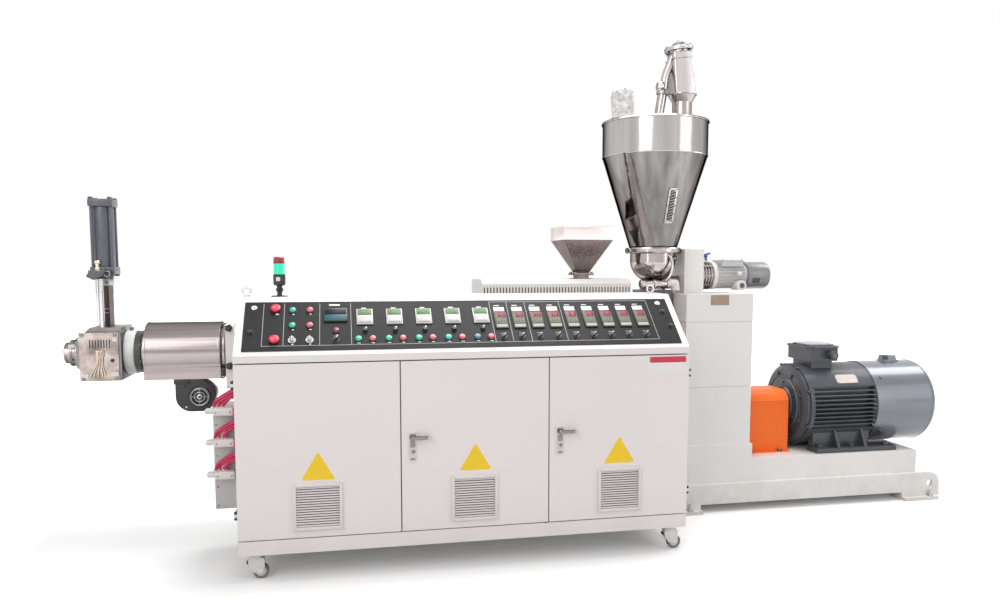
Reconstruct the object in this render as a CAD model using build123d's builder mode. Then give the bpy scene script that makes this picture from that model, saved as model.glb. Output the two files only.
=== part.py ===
"""Twin-screw plastic extruder with a vertical hydraulic screen changer and a control console.

The barrel runs along X at the centre of the machine, the die is at -X and the main motor at +X.
The console stands in front, at -Y. Z is up, and the origin lies on the floor at the centre of
the four corner anchor holes of the base. All sizes are in millimetres.
"""
import os
from math import atan2, cos, degrees, hypot, radians, sin, tan

from build123d import *

os.makedirs("parts", exist_ok=True)

# Clearances
pin_clearance = 0.05
seat_clearance = 0.3
door_gap = 6.0
door_back_gap = 8.0
end_clearance = 2.0

# Base frame
base_length = 3984.0
rail_half_width = 330.0
rail_width = 90.0
rail_bottom = 50.0
rail_top = 172.0
cross_beam_count = 8
cross_beam_width = 80.0
foot_plate_thick = 22.0
foot_reach = 120.0
middle_foot_half = 74.5
foot_half_width = 365.0
foot_inner = 215.0
middle_foot_x = 415.0
anchor_x = 2066.5
anchor_y = 347.0
anchor_radius = 9.0
lug_thick = 20.0
lug_hole_radius = 22.0
lug_hole_x = 2070.0
lug_hole_z = 102.0
deck_half_width = 300.0
deck_inset = 4.0
deck_top = 315.0

# Gearbox tower
tower_left = 388.0
tower_right = 820.0
tower_half_depth = 292.0
pedestal_right = 835.0
pedestal_step_z = 407.0
pedestal_top = 568.0
housing_seam_z = 762.0
housing_top = 1157.0
tower_top = 1326.0
seam_depth = 4.0
seam_height = 5.0

# Main motor
shaft_height = 280.0
motor_axis_z = deck_top + shaft_height
shield_face_x = 1198.0
frame_left = 1258.0
frame_right = 1736.0
fan_cover_right = 2162.0
fan_cover_radius = 266.0
fan_cover_wall = 4.0
fan_cover_lap = 12.0
frame_radius = fan_cover_radius - fan_cover_wall - seat_clearance
shield_radius = 252.0
fin_pitch = 27.0
fin_thick = 7.0
fin_count = 11
fin_root = 200.0
fin_start = 1284.0
shield_steps = ((0.0, 110.0), (12.0, 165.0), (22.0, 225.0))
shield_step_slope = 6.0
motor_foot_left = 1298.0
motor_foot_right = 1858.0
motor_foot_half_width = 275.0
motor_foot_width = 120.0
motor_foot_thick = 30.0
motor_web_thick = 50.0
motor_web_rise = 120.0
motor_rib_xs = (1448.0, 1638.0)
motor_rib_thick = 16.0
terminal_box_left = 1318.0
terminal_box_right = 1514.0
terminal_box_half_width = 130.0
terminal_box_bottom = 882.0
terminal_pad_inset = 24.0
terminal_box_top = 965.0
terminal_lid_thick = 14.0
terminal_lid_overhang = 20.0
terminal_lid_chamfer = 38.0
gland_radius = 28.0
gland_reach = 45.0
grille_radius = 200.0
grille_ring_pitch = 30.0
grille_bar = 12.0
fan_cover_corner = 40.0
fan_box_x = 1974.0
fan_box_length = 92.0
fan_box_width = 70.0
fan_box_height = 36.0

# Coupling guard between gearbox and motor
guard_right = 1163.0
guard_half_width = 150.0
guard_height = 388.0
guard_corner = 80.0
guard_wall = 4.0
guard_flange = 34.0
coupling_radius = 95.0
coupling_half_length = 71.0
coupling_gap = 8.0
shaft_radius = 38.0

# Barrel and its covers
barrel_left = -2703.0
barrel_axis_z = 1020.0
barrel_radius = 105.0
screw_radius = 26.0
screw_spacing = 60.0
cover_radius = 162.0
cover_wall = 4.0
cover_box_half_width = 150.0
cover_bottom = 877.0
front_cover_left = barrel_left + 20.0
front_cover_right = -2286.0
end_plate_left = -2255.0
end_plate_right = -2210.0
end_plate_half_width = 170.0
end_plate_bottom = 820.0
end_plate_top = 1175.0
end_plate_corner = 18.0
joint_ring_radius = 127.0
middle_cover_right = -841.0
vented_cover_left = -828.0
vented_cover_right = 75.0
vented_cover_half_width = 190.0
vented_cover_shoulder_z = 1391.0
vented_cover_top = 1417.0
vented_cover_shoulder = 40.0
slot_count = 48
slot_pitch = 18.7
slot_width = 7.5
slot_bottom = 1331.0
slot_top = 1371.0
support_left = -1960.0
support_width = 140.0
support_half_depth = 120.0

# Barrel cooling blowers
blower_xs = (-2398.0, -1620.0, -1120.0)
blower_z = 780.0
blower_left_reach = 128.0
blower_right_reach = 88.0
blower_scroll_radius = 110.0
blower_drop = 83.0
blower_front = -150.0
blower_width = 90.0
inlet_radius = 52.0
inlet_height = 12.0
inlet_rim = 8.0
inlet_hub_radius = 18.0

# Feed throat, main hopper and screw feeder
hopper_x = 288.0
throat_half_length = 90.0
throat_half_depth = 110.0
throat_bottom = 900.0
throat_top = 1345.0
hopper_rim_radius = 320.0
hopper_outlet_radius = 145.0
hopper_rim_z = 2363.0
hopper_shoulder_z = 2158.0
hopper_outlet_z = 1590.0
hopper_wall = 4.0
clamp_band_radius = 164.0
clamp_band_half = 12.0
bowl_radius = 140.0
bowl_knee_z = 1516.0
bowl_floor_z = 1405.0
bowl_outlet_radius = 60.0
throat_flange_radius = 78.0
throat_flange_thick = 10.0
auger_radius = 40.0
auger_z = 1392.0
lid_thick = 8.0
lid_overhang = 6.0
lid_bevel = 3.0
filter_x = hopper_x - 212.0
filter_radius = 68.0
filter_height = 212.0
filter_collar_height = 14.0
filter_collar_rim = 5.0
lid_top = hopper_rim_z + lid_thick
lid_radius = hopper_rim_radius + lid_overhang
loader_x = 463.0
loader_head_x = loader_x - 27.0
loader_neck_radius = 66.0
loader_neck_height = 159.0
loader_ring_radius = 86.0
loader_ring_thick = 16.0
loader_tube_height = 254.0
loader_tube_top_half = 56.0
loader_collar_thick = 12.0
loader_head_thick = 34.0
loader_cap_radius = 42.0
loader_cap_height = 26.0
pipe_radius = 30.0
pipe_foot_x = loader_x - 156.0
pipe_lean = 44.0
pipe_height = 274.0
feeder_box_left = hopper_x + 170.0
feeder_box_right = feeder_box_left + 126.0
feeder_box_half_depth = 100.0
feeder_box_top = 1598.0
feeder_motor_z = 1434.0
feeder_motor_radius = 86.0
feeder_body_radius = 70.0
feeder_fin_count = 4
feeder_fin_pitch = 18.0
feeder_fin_thick = 8.0
feeder_ring_left = feeder_box_right + 84.0
feeder_ring_right = feeder_ring_left + 26.0
feeder_fan_left = feeder_ring_right + 204.0
feeder_motor_right = feeder_fan_left + 160.0
feeder_terminal_height = 98.0
feeder_boss_radius = 30.0
feeder_boss_reach = 115.0

# Vent funnel on the barrel
funnel_x = -178.0
funnel_half_width = 152.0
funnel_rim_z = 1730.0
funnel_lip_z = 1650.0
funnel_neck_z = 1452.0
funnel_neck_half = 38.0
funnel_flange_half = 62.0
funnel_flange_thick = 8.0
funnel_wall = 3.0

# Die head and screen changer, counted from the barrel's end towards the nozzle
clamp_ring_radius = 122.0
clamp_disc_radius = 117.0
clamp_disc_length = 35.0
clamp_ring_length = 55.0
clamp_lug_length = 20.0
clamp_lug_width = 24.0
clamp_lug_height = 17.0
clamp_ring_mid = barrel_left - clamp_disc_length
clamp_ring_left = clamp_ring_mid - clamp_ring_length
changer_x = clamp_ring_left - 99.0
changer_bottom = 880.0
changer_top = 1140.0
changer_half_depth = 145.0
changer_block_left = changer_x - 84.0
changer_plate_left = changer_x - 108.0
changer_plate_right = changer_x + 88.0
changer_plate_thick = 8.0
shoulder_length = 50.0
shoulder_half_depth = 118.0
shoulder_height = 25.0
shoulder_slope = 22.0
shoulder_left = changer_block_left - shoulder_length
shoulder_top = changer_top + shoulder_height
louvre_slot_count = 8
louvre_slot_pitch = 14.0
louvre_slot_width = 6.0
louvre_slot_height = 50.0
louvre_slot_drop = 60.0
slide_thick = 50.0
slide_half_width = 45.0
slide_top = 1425.0
nozzle_radius = 57.0
nozzle_length = 26.0
nozzle_collar_radius = 72.0
nozzle_collar_length = 40.0
nozzle_flange_radius = 92.0
nozzle_flange_length = 16.0
nozzle_bore = 24.0
cylinder_half = 62.0
cylinder_bottom = 1450.0
cylinder_top = 1855.0
cylinder_cap = 40.0
tie_rod_radius = 8.0
tie_rod_inset = 14.0
tie_rod_proud = 6.0
port_block_drop = 24.0
cylinder_tube_radius = 52.0
cylinder_bore = 42.0
piston_rod_radius = 22.0
piston_thick = 30.0
piston_clearance = 0.5
pillar_radius = 12.0
front_pillar = (changer_x, -98.0)
rear_pillar = (changer_x - 54.0, 48.0)

# Console cabinet
console_left = -2126.0
console_right = 128.0
console_front = -910.0
console_rear = -rail_half_width
plinth_setback = 4.0
plinth_skirt = 40.0
console_bottom = 128.0
plinth_top = 198.0
door_bottom = plinth_top + door_gap
head_bottom = 1046.0
door_top = head_bottom - door_gap
slope_bottom_z = 1080.0
slope_top_y = -620.0
console_top = 1342.0
slope_run = slope_top_y - console_front
slope_rise = console_top - slope_bottom_z
slope_length = hypot(slope_run, slope_rise)
sheet = 3.0
post_width = 50.0
post_depth = 30.0
door_thick = 20.0
door_skin = 3.0
door_border = 24.0
door_seams = (-1358.0, -618.0)
vent_centres = (-1755.0, -997.0, -244.0)
vent_half_width = 115.0
vent_bottom = 240.0
vent_top = 467.0
vent_margin = 12.0
louvre_count = 10
louvre_open_share = 0.45

# Hinges: knuckles outside the end doors and hidden pivots for the middle door
pivot_radius = 4.0
pivot_inset = 9.0
pivot_depth = 14.0
hinge_radius = 7.0
hinge_offset = 8.0
hinge_y = console_front + 11.0
hinge_heights = (325.0, 944.0)
knuckle_half = 8.0
knuckle_arm_half = 5.0
hinge_half = 20.0

# Lever latches: a plate on the door and a lever that turns on a spindle
lever_z = 668.0
lever_reach = 92.0
lever_half = 9.0
lever_thick = 14.0
lever_stand_off = 30.0
lever_hub_radius = 12.0
latch_bottom = 547.0
latch_top = 694.0
spindle_radius = 6.0
spindle_inset = 16.0
latch_plate_thick = 6.0
latch_plate_width = 38.0
latch_inset = 34.0

# Control panel on the slope
panel_left = -2090.0
panel_right = 94.0
panel_low = 26.0
panel_high = slope_length - 41.0
panel_thick = 4.0
display_span = (-1714.0, -1603.0)
display_rows = (panel_high - 132.0, panel_high - 47.0)
display_thick = 8.0
meter_first_x = -1517.0
meter_pitch = 145.5
meter_count = 5
meter_half = 40.0
meter_rows = (panel_high - 157.0, panel_high - 39.0)
meter_thick = 12.0
controller_first_x = -835.0
controller_pitch = 94.0
controller_count = 9
controller_half = 30.0
controller_rows = (panel_high - 196.0, panel_high - 37.0)
controller_thick = 8.0
row_low = panel_low + 66.0
row_knob = panel_high - 181.0
row_middle = panel_high - 156.0
row_high = panel_high - 52.0
row_stop = panel_high - 42.0
stop_x = -1944.0
stop_radius = 17.0
stop_height = 30.0
button_radius = 13.0
button_height = 16.0
button_xs = (-1863.0, -1781.0)
alarm_x = -1657.0
alarm_rows = (row_low, panel_high - 192.0)
meter_knob_radius = 9.0
meter_button_offset = 34.0

# Lifting eyes and signal tower on the console's top
eye_xs = (-2091.0, 43.0)
top_fittings_y = slope_top_y + 46.0
eye_foot_radius = 14.0
eye_foot_height = 8.0
eye_ring_radius = 19.0
eye_wire_radius = 5.0
tower_x = -1932.0
tower_stages = (
    (0.0, 5.0, 42.0),
    (5.0, 60.0, 24.0),
    (60.0, 112.0, 30.0),
    (112.0, 168.0, 28.0),
    (168.0, 200.0, 28.0),
)

# Casters
caster_xs = (-2056.0, 58.0)
caster_ys = (-850.0, -440.0)
caster_trail = 26.0
wheel_radius = 37.0
wheel_width = 28.0
axle_radius = 6.0
fork_wall = 5.0
swivel_radius = 30.0
swivel_plate = 14.0
kingpin_radius = 8.0
kingpin_length = 26.0
kingpin_hole_depth = 30.0
fork_lead = 24.0
fork_tail = 20.0
fork_side_gap = 2.0
crown_gap = 6.0

# Wiring box on the console's side
wiring_left = console_left - 146.0
wiring_front = -560.0
wiring_rear = -360.0
wiring_bottom = 264.0
wiring_top = 785.0
hood_heights = (771.0, 613.0, 449.0)
hood_depth = 62.0
hood_half_height = 20.0
hood_left = wiring_left - 6.0
hood_right = console_left - 42.0

# Heater cables from the hoods to the console's side
cable_radius = 6.0
cable_first_x = hood_left + 17.0
cable_pitch = 22.0
cables_per_hood = 3
cable_rise = 42.0
cable_step = 18.0
cable_run_in = 44.0


def block(x0, x1, y0, y1, z0, z1, mode=Mode.ADD):
    """A box between two corners, made in the open part."""
    with Locations(((x0 + x1) / 2, (y0 + y1) / 2, (z0 + z1) / 2)):
        Box(x1 - x0, y1 - y0, z1 - z0, mode=mode)


def rod_along_x(x0, x1, y, z, radius, mode=Mode.ADD):
    """A round bar along X, made in the open part."""
    with BuildSketch(Plane.YZ.offset(x0)) as section:
        with Locations((y, z)):
            Circle(radius)
    extrude(section.sketch, amount=x1 - x0, mode=mode)


def rod_along_y(x, y0, y1, z, radius, mode=Mode.ADD):
    """A round bar along Y, made in the open part."""
    with BuildSketch(Plane.XZ.offset(-y1)) as section:
        with Locations((x, z)):
            Circle(radius)
    extrude(section.sketch, amount=y1 - y0, mode=mode)


def rod_along_z(x, y, z0, z1, radius, mode=Mode.ADD):
    """A round bar along Z, made in the open part."""
    with BuildSketch(Plane.XY.offset(z0)) as section:
        with Locations((x, y)):
            Circle(radius)
    extrude(section.sketch, amount=z1 - z0, mode=mode)


def save(part, name):
    """Label a finished piece and write it to its own file."""
    part.label = name
    export_step(part, f"parts/{name}.step")


# Base frame: two rails and the cross beams between them
half_base = base_length / 2
beam_half = rail_half_width - rail_width
with BuildPart() as base_frame:
    for side in (-1, 1):
        rail_edges = sorted((side * rail_half_width, side * beam_half))
        block(-half_base, half_base, rail_edges[0], rail_edges[1], rail_bottom, rail_top)
    beam_step = (base_length - cross_beam_width) / (cross_beam_count - 1)
    for index in range(cross_beam_count):
        beam_left = -half_base + index * beam_step
        block(beam_left, beam_left + cross_beam_width, -beam_half, beam_half, rail_bottom, rail_top)
save(base_frame.part, "base_frame")

# Base feet: foot plates with anchor holes, pads under the rails and lifting lugs at the ends
with BuildPart() as base_feet:
    foot_spans = (
        (-half_base - foot_reach, -half_base + foot_reach),
        (middle_foot_x - middle_foot_half, middle_foot_x + middle_foot_half),
        (half_base - foot_reach, half_base + foot_reach),
    )
    for side in (-1, 1):
        foot_edges = sorted((side * foot_half_width, side * foot_inner))
        pad_edges = sorted((side * rail_half_width, side * foot_inner))
        for foot_left, foot_right in foot_spans:
            block(foot_left, foot_right, foot_edges[0], foot_edges[1], 0, foot_plate_thick)
            block(max(foot_left, -half_base), min(foot_right, half_base), pad_edges[0], pad_edges[1],
                  foot_plate_thick, rail_bottom)
        lug_radius = rail_top - lug_hole_z
        tip_x = lug_hole_x + lug_radius
        for end in (-1, 1):
            lug_y = side * (rail_half_width - lug_thick / 2)
            with BuildSketch(Plane.XZ.offset(-lug_y)) as lug_outline:
                with BuildLine():
                    Polyline((half_base, foot_plate_thick), (tip_x, foot_plate_thick), (tip_x, lug_hole_z))
                    RadiusArc((tip_x, lug_hole_z), (lug_hole_x, rail_top), -lug_radius)
                    Polyline((lug_hole_x, rail_top), (half_base, rail_top), (half_base, foot_plate_thick))
                make_face()
                with Locations((lug_hole_x, lug_hole_z)):
                    Circle(lug_hole_radius, mode=Mode.SUBTRACT)
                if end < 0:
                    mirror(about=Plane.YZ, mode=Mode.REPLACE)
            extrude(lug_outline.sketch, amount=lug_thick / 2, both=True)
    with GridLocations(2 * anchor_x, 2 * anchor_y, 2, 2):
        Cylinder(anchor_radius, 3 * foot_plate_thick, mode=Mode.SUBTRACT)
    with Locations((middle_foot_x, anchor_y, 0), (middle_foot_x, -anchor_y, 0)):
        Cylinder(anchor_radius, 3 * foot_plate_thick, mode=Mode.SUBTRACT)
save(base_feet.part, "base_feet")

# Deck box on the rails
deck_end = half_base - deck_inset
with BuildPart() as base_deck:
    block(-deck_end, deck_end, -deck_half_width, deck_half_width, rail_top, deck_top)
save(base_deck.part, "base_deck")

# Gearbox tower of stacked castings, with shadow seams
with BuildPart() as gearbox_pedestal:
    block(tower_left, pedestal_right, -deck_half_width, deck_half_width, deck_top, pedestal_step_z)
    block(tower_left, tower_right, -tower_half_depth, tower_half_depth, pedestal_step_z, pedestal_top)
save(gearbox_pedestal.part, "gearbox_pedestal")

with BuildPart() as gearbox_housing:
    block(tower_left, tower_right, -tower_half_depth, tower_half_depth, pedestal_top, housing_top)
    block(tower_left, tower_right, -tower_half_depth, tower_half_depth,
          housing_seam_z, housing_seam_z + seam_height, mode=Mode.SUBTRACT)
    block(tower_left + seam_depth, tower_right - seam_depth, seam_depth - tower_half_depth,
          tower_half_depth - seam_depth, housing_seam_z, housing_seam_z + seam_height)
    block(tower_left + seam_depth, tower_right - seam_depth, seam_depth - tower_half_depth,
          tower_half_depth - seam_depth, housing_top, housing_top + seam_height)
    block(tower_left, tower_right, -tower_half_depth, tower_half_depth,
          housing_top + seam_height, tower_top)
save(gearbox_housing.part, "gearbox_housing")

# Coupling guard: a bent sheet arch with bolted foot flanges
guard_top = deck_top + guard_height
with BuildPart() as coupling_guard:
    with BuildSketch(Plane.YZ.offset(pedestal_right)) as guard_outline:
        with Locations((0, deck_top + guard_height / 2)):
            Rectangle(2 * guard_half_width, guard_height)
        fillet(guard_outline.vertices().group_by(Axis.Y)[-1], guard_corner)
        with BuildSketch(mode=Mode.PRIVATE) as guard_hollow:
            with Locations((0, deck_top + (guard_height - guard_wall) / 2)):
                Rectangle(2 * (guard_half_width - guard_wall), guard_height - guard_wall)
            fillet(guard_hollow.vertices().group_by(Axis.Y)[-1], guard_corner - guard_wall)
        add(guard_hollow.sketch, mode=Mode.SUBTRACT)
    extrude(amount=guard_right - pedestal_right)
    for side in (-1, 1):
        flange_edges = sorted((side * guard_half_width, side * (guard_half_width + guard_flange)))
        block(pedestal_right, guard_right, flange_edges[0], flange_edges[1], deck_top, deck_top + guard_wall)
save(coupling_guard.part, "coupling_guard")

# Drive coupling: gearbox shaft, two coupling halves, motor shaft
coupling_middle = (pedestal_right + guard_right) / 2
with BuildPart() as drive_coupling:
    rod_along_x(tower_right, shield_face_x, 0, motor_axis_z, shaft_radius)
    for side in (-1, 1):
        half_faces = sorted((coupling_middle + side * coupling_gap / 2,
                             coupling_middle + side * (coupling_gap / 2 + coupling_half_length)))
        rod_along_x(half_faces[0], half_faces[1], 0, motor_axis_z, coupling_radius)
save(drive_coupling.part, "drive_coupling")

# Motor frame: a cast drum with level cooling fins down both sides, on two long feet
with BuildPart() as motor_frame:
    rod_along_x(frame_left, frame_right, 0, motor_axis_z, frame_radius)
    with BuildSketch(Plane.YZ.offset(fin_start)) as fin_slots:
        slot_reach = frame_radius - fin_root
        with Locations((0, motor_axis_z)):
            with GridLocations(2 * (fin_root + slot_reach), fin_pitch, 2, fin_count - 1):
                Rectangle(2 * slot_reach, fin_pitch - fin_thick)
    extrude(fin_slots.sketch, amount=frame_right - fin_start, mode=Mode.SUBTRACT)
    foot_top = deck_top + motor_foot_thick
    foot_inner_edge = motor_foot_half_width - motor_foot_width
    web_outer = foot_inner_edge + motor_web_thick
    for side in (-1, 1):
        foot_edges = sorted((side * motor_foot_half_width, side * foot_inner_edge))
        block(motor_foot_left, motor_foot_right, foot_edges[0], foot_edges[1], deck_top, foot_top)
        web_edges = sorted((side * web_outer, side * foot_inner_edge))
        block(frame_left + motor_web_thick, frame_right - motor_foot_thick, web_edges[0], web_edges[1],
              foot_top, foot_top + motor_web_rise)
        for rib_x in motor_rib_xs:
            with BuildSketch(Plane.YZ.offset(rib_x)) as rib_outline:
                with BuildLine():
                    rib_tip = side * (motor_foot_half_width - motor_rib_thick / 2)
                    Polyline((rib_tip, foot_top), (side * web_outer, foot_top),
                             (side * web_outer, foot_top + motor_web_rise), close=True)
                make_face()
            extrude(rib_outline.sketch, amount=motor_rib_thick)
save(motor_frame.part, "motor_frame")

# Drive-end shield with concentric steps
with BuildPart() as motor_end_shield:
    with BuildSketch(Plane.XZ) as shield_profile:
        with BuildLine():
            bore_z = motor_axis_z + shaft_radius + seat_clearance
            rising_edge = []
            step_foot_z = bore_z
            for step_back, step_radius in shield_steps:
                step_top_z = motor_axis_z + step_radius
                step_x = shield_face_x + step_back
                rising_edge += [(step_x, step_foot_z), (step_x, step_top_z)]
                step_foot_z = step_top_z + shield_step_slope
            shield_rim_z = motor_axis_z + shield_radius
            shield_rim_x = (shield_face_x + 2 * frame_left) / 3
            Polyline(*rising_edge, (shield_rim_x, shield_rim_z), (frame_left, shield_rim_z),
                     (frame_left, bore_z), close=True)
        make_face()
    revolve(axis=Axis((0, 0, motor_axis_z), (1, 0, 0)))
save(motor_end_shield.part, "motor_end_shield")

# Terminal box with an overhanging lid, cut corners and a cable gland
terminal_middle = (terminal_box_left + terminal_box_right) / 2
terminal_length = terminal_box_right - terminal_box_left
with BuildPart() as motor_terminal_box:
    block(terminal_box_left, terminal_box_right, -terminal_box_half_width, terminal_box_half_width,
          terminal_box_bottom, terminal_box_top)
    pad_half = terminal_box_half_width - terminal_pad_inset
    block(terminal_box_left + terminal_pad_inset, terminal_box_right - terminal_pad_inset, -pad_half, pad_half,
          motor_axis_z, terminal_box_bottom)
    rod_along_x(terminal_box_left, terminal_box_right, 0, motor_axis_z,
                frame_radius + seat_clearance, mode=Mode.SUBTRACT)
    with BuildSketch(Plane.XY.offset(terminal_box_top)) as lid_outline:
        with Locations((terminal_middle, 0)):
            Rectangle(terminal_length + 2 * terminal_lid_overhang,
                      2 * (terminal_box_half_width + terminal_lid_overhang))
        chamfer(lid_outline.vertices(), terminal_lid_chamfer)
    extrude(lid_outline.sketch, amount=terminal_lid_thick)
    rod_along_y(terminal_box_right - 2 * gland_radius, -terminal_box_half_width - gland_reach,
                -terminal_box_half_width, (terminal_box_bottom + terminal_box_top) / 2, gland_radius)
save(motor_terminal_box.part, "motor_terminal_box")

# Fan cover: a deep drawn drum that laps over the frame, with a ring grille at its far end
with BuildPart() as motor_fan_cover:
    cover_left = frame_right - fan_cover_lap
    outer_z = motor_axis_z + fan_cover_radius
    inner_z = outer_z - fan_cover_wall
    end_inner_x = fan_cover_right - fan_cover_wall
    bend_x = fan_cover_right - fan_cover_corner
    bend_z = outer_z - fan_cover_corner
    with BuildSketch(Plane.XZ) as fan_cover_profile:
        with BuildLine():
            Polyline((cover_left, inner_z), (cover_left, outer_z), (bend_x, outer_z))
            RadiusArc((bend_x, outer_z), (fan_cover_right, bend_z), fan_cover_corner)
            Polyline((fan_cover_right, bend_z), (fan_cover_right, motor_axis_z + grille_radius),
                     (end_inner_x, motor_axis_z + grille_radius), (end_inner_x, bend_z))
            RadiusArc((end_inner_x, bend_z), (bend_x, inner_z), fan_cover_wall - fan_cover_corner)
            Line((bend_x, inner_z), (cover_left, inner_z))
        make_face()
    revolve(axis=Axis((0, 0, motor_axis_z), (1, 0, 0)))
    with BuildSketch(Plane.YZ.offset(end_inner_x)) as grille:
        with Locations((0, motor_axis_z)):
            for ring_index in range(5):
                ring_radius = grille_radius - grille_bar - ring_index * grille_ring_pitch
                Circle(ring_radius + grille_bar / 2)
                Circle(ring_radius - grille_bar / 2, mode=Mode.SUBTRACT)
            Circle(grille_ring_pitch + grille_bar)
            with PolarLocations(grille_radius / 2, 6):
                Rectangle(grille_radius + grille_bar, grille_bar)
    extrude(grille.sketch, amount=fan_cover_wall)
    with BuildSketch(Plane.XY.offset(inner_z + fan_cover_wall / 2)) as fan_box_outline:
        with Locations((fan_box_x, 0)):
            Rectangle(fan_box_length, fan_box_width)
    extrude(fan_box_outline.sketch, amount=fan_box_height + fan_cover_wall / 2, taper=8)
save(motor_fan_cover.part, "motor_fan_cover")

# Barrel with the bores of its two screws
with BuildPart() as barrel:
    rod_along_x(barrel_left, tower_left, 0, barrel_axis_z, barrel_radius)
    for side in (-1, 1):
        rod_along_x(barrel_left, tower_left, side * screw_spacing / 2, barrel_axis_z, screw_radius,
                    mode=Mode.SUBTRACT)
save(barrel.part, "barrel")

# Stainless barrel covers: closed housings, round above the barrel and square below it
cover_spans = (
    (front_cover_left, front_cover_right),
    (end_plate_right + seat_clearance, middle_cover_right),
)
with BuildPart() as barrel_covers:
    for left, right in cover_spans:
        with BuildSketch(Plane.YZ.offset(left)) as cover_section:
            with Locations((0, barrel_axis_z)):
                Circle(cover_radius)
            with Locations((0, (cover_bottom + barrel_axis_z) / 2)):
                Rectangle(2 * cover_box_half_width, barrel_axis_z - cover_bottom)
            with Locations((0, cover_bottom - cover_radius / 2)):
                Rectangle(2 * cover_radius, cover_radius, mode=Mode.SUBTRACT)
        extrude(cover_section.sketch, amount=right - left)
    rod_along_x(front_cover_left, middle_cover_right, 0, barrel_axis_z, barrel_radius + seat_clearance,
                mode=Mode.SUBTRACT)
save(barrel_covers.part, "barrel_covers")

# White end plate between the two covers
with BuildPart() as barrel_end_plate:
    block(end_plate_left, end_plate_right, -end_plate_half_width, end_plate_half_width,
          end_plate_bottom, end_plate_top)
    fillet(barrel_end_plate.edges().filter_by(Axis.X), end_plate_corner)
    rod_along_x(end_plate_left, end_plate_right, 0, barrel_axis_z, barrel_radius + seat_clearance,
                mode=Mode.SUBTRACT)
    rod_along_x(front_cover_right, end_plate_left, 0, barrel_axis_z, joint_ring_radius)
    rod_along_x(front_cover_right, end_plate_left, 0, barrel_axis_z, barrel_radius + seat_clearance,
                mode=Mode.SUBTRACT)
save(barrel_end_plate.part, "barrel_end_plate")

# Support column from the deck to the underside of the middle cover
with BuildPart() as barrel_support:
    block(support_left, support_left + support_width, -support_half_depth, support_half_depth,
          deck_top, cover_bottom)
save(barrel_support.part, "barrel_support")

# Vented rear cover with a row of upright slots down each side
vented_length = vented_cover_right - vented_cover_left
with BuildPart() as barrel_rear_cover:
    for inset, mode in ((0.0, Mode.ADD), (cover_wall, Mode.SUBTRACT)):
        half = vented_cover_half_width - inset
        with BuildSketch(Plane.YZ.offset(vented_cover_left + inset)) as vented_section:
            with BuildLine():
                low = cover_bottom - inset
                top = vented_cover_top - inset
                Polyline(
                    (-half, low),
                    (-half, vented_cover_shoulder_z - inset / 2),
                    (-half + vented_cover_shoulder, top),
                    (half - vented_cover_shoulder, top),
                    (half, vented_cover_shoulder_z - inset / 2),
                    (half, low),
                    close=True,
                )
            make_face()
        extrude(vented_section.sketch, amount=vented_length - 2 * inset, mode=mode)
    slot_middle_x = (vented_cover_left + vented_cover_right) / 2
    with BuildSketch(Plane.XZ.offset(-vented_cover_half_width)) as slots:
        with Locations((slot_middle_x, (slot_bottom + slot_top) / 2)):
            with GridLocations(slot_pitch, slot_top - slot_bottom, slot_count, 1):
                Rectangle(slot_width, slot_top - slot_bottom)
    extrude(slots.sketch, amount=2 * vented_cover_half_width, mode=Mode.SUBTRACT)
    rod_along_x(vented_cover_left, vented_cover_right, 0, barrel_axis_z, barrel_radius + seat_clearance,
                mode=Mode.SUBTRACT)
    rod_along_z(funnel_x, 0, vented_cover_top - 2 * cover_wall, vented_cover_top,
                funnel_neck_half - 2 * funnel_wall, mode=Mode.SUBTRACT)
save(barrel_rear_cover.part, "barrel_rear_cover")

# Cooling blowers hung under the covers: a snail housing with an upward outlet and a round inlet
with BuildPart() as barrel_blowers:
    for centre_x in blower_xs:
        left_x = centre_x - blower_left_reach
        right_x = centre_x + blower_right_reach
        low_z = blower_z - blower_drop
        turn_x = left_x + blower_drop
        bulge_x = centre_x + inlet_hub_radius
        tip_z = blower_z + inlet_hub_radius
        with BuildSketch(Plane.XZ.offset(-blower_front - blower_width)) as scroll:
            with BuildLine():
                Line((left_x, cover_bottom), (left_x, blower_z))
                RadiusArc((left_x, blower_z), (turn_x, low_z), -blower_drop)
                Line((turn_x, low_z), (bulge_x, low_z))
                RadiusArc((bulge_x, low_z), (right_x, tip_z), -blower_scroll_radius)
                RadiusArc((right_x, tip_z), (bulge_x, cover_bottom), -blower_scroll_radius)
                Line((bulge_x, cover_bottom), (left_x, cover_bottom))
            make_face()
        extrude(scroll.sketch, amount=blower_width)
        ring_front = blower_front - inlet_height
        rod_along_y(centre_x, ring_front, blower_front, blower_z, inlet_radius)
        rod_along_y(centre_x, ring_front, blower_front + inlet_height, blower_z, inlet_radius - inlet_rim,
                    mode=Mode.SUBTRACT)
        rod_along_y(centre_x, ring_front + inlet_rim, blower_front + inlet_height, blower_z,
                    inlet_hub_radius)
save(barrel_blowers.part, "barrel_blowers")

# Feed throat block between barrel and hopper
with BuildPart() as feed_throat:
    block(hopper_x - throat_half_length, hopper_x + throat_half_length, -throat_half_depth, throat_half_depth, throat_bottom, throat_top)
    rod_along_x(hopper_x - throat_half_length, hopper_x + throat_half_length, 0, barrel_axis_z, barrel_radius + seat_clearance,
                mode=Mode.SUBTRACT)
save(feed_throat.part, "feed_throat")


def revolved_about_hopper(points, name):
    """A closed profile in the XZ plane, given as radius and height, spun about the hopper axis."""
    with BuildPart() as spun:
        with BuildSketch(Plane.XZ):
            with BuildLine():
                Polyline(*[(hopper_x + radius, height) for radius, height in points], close=True)
            make_face()
        revolve(axis=Axis((hopper_x, 0, 0), (0, 0, 1)))
    save(spun.part, name)


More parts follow.
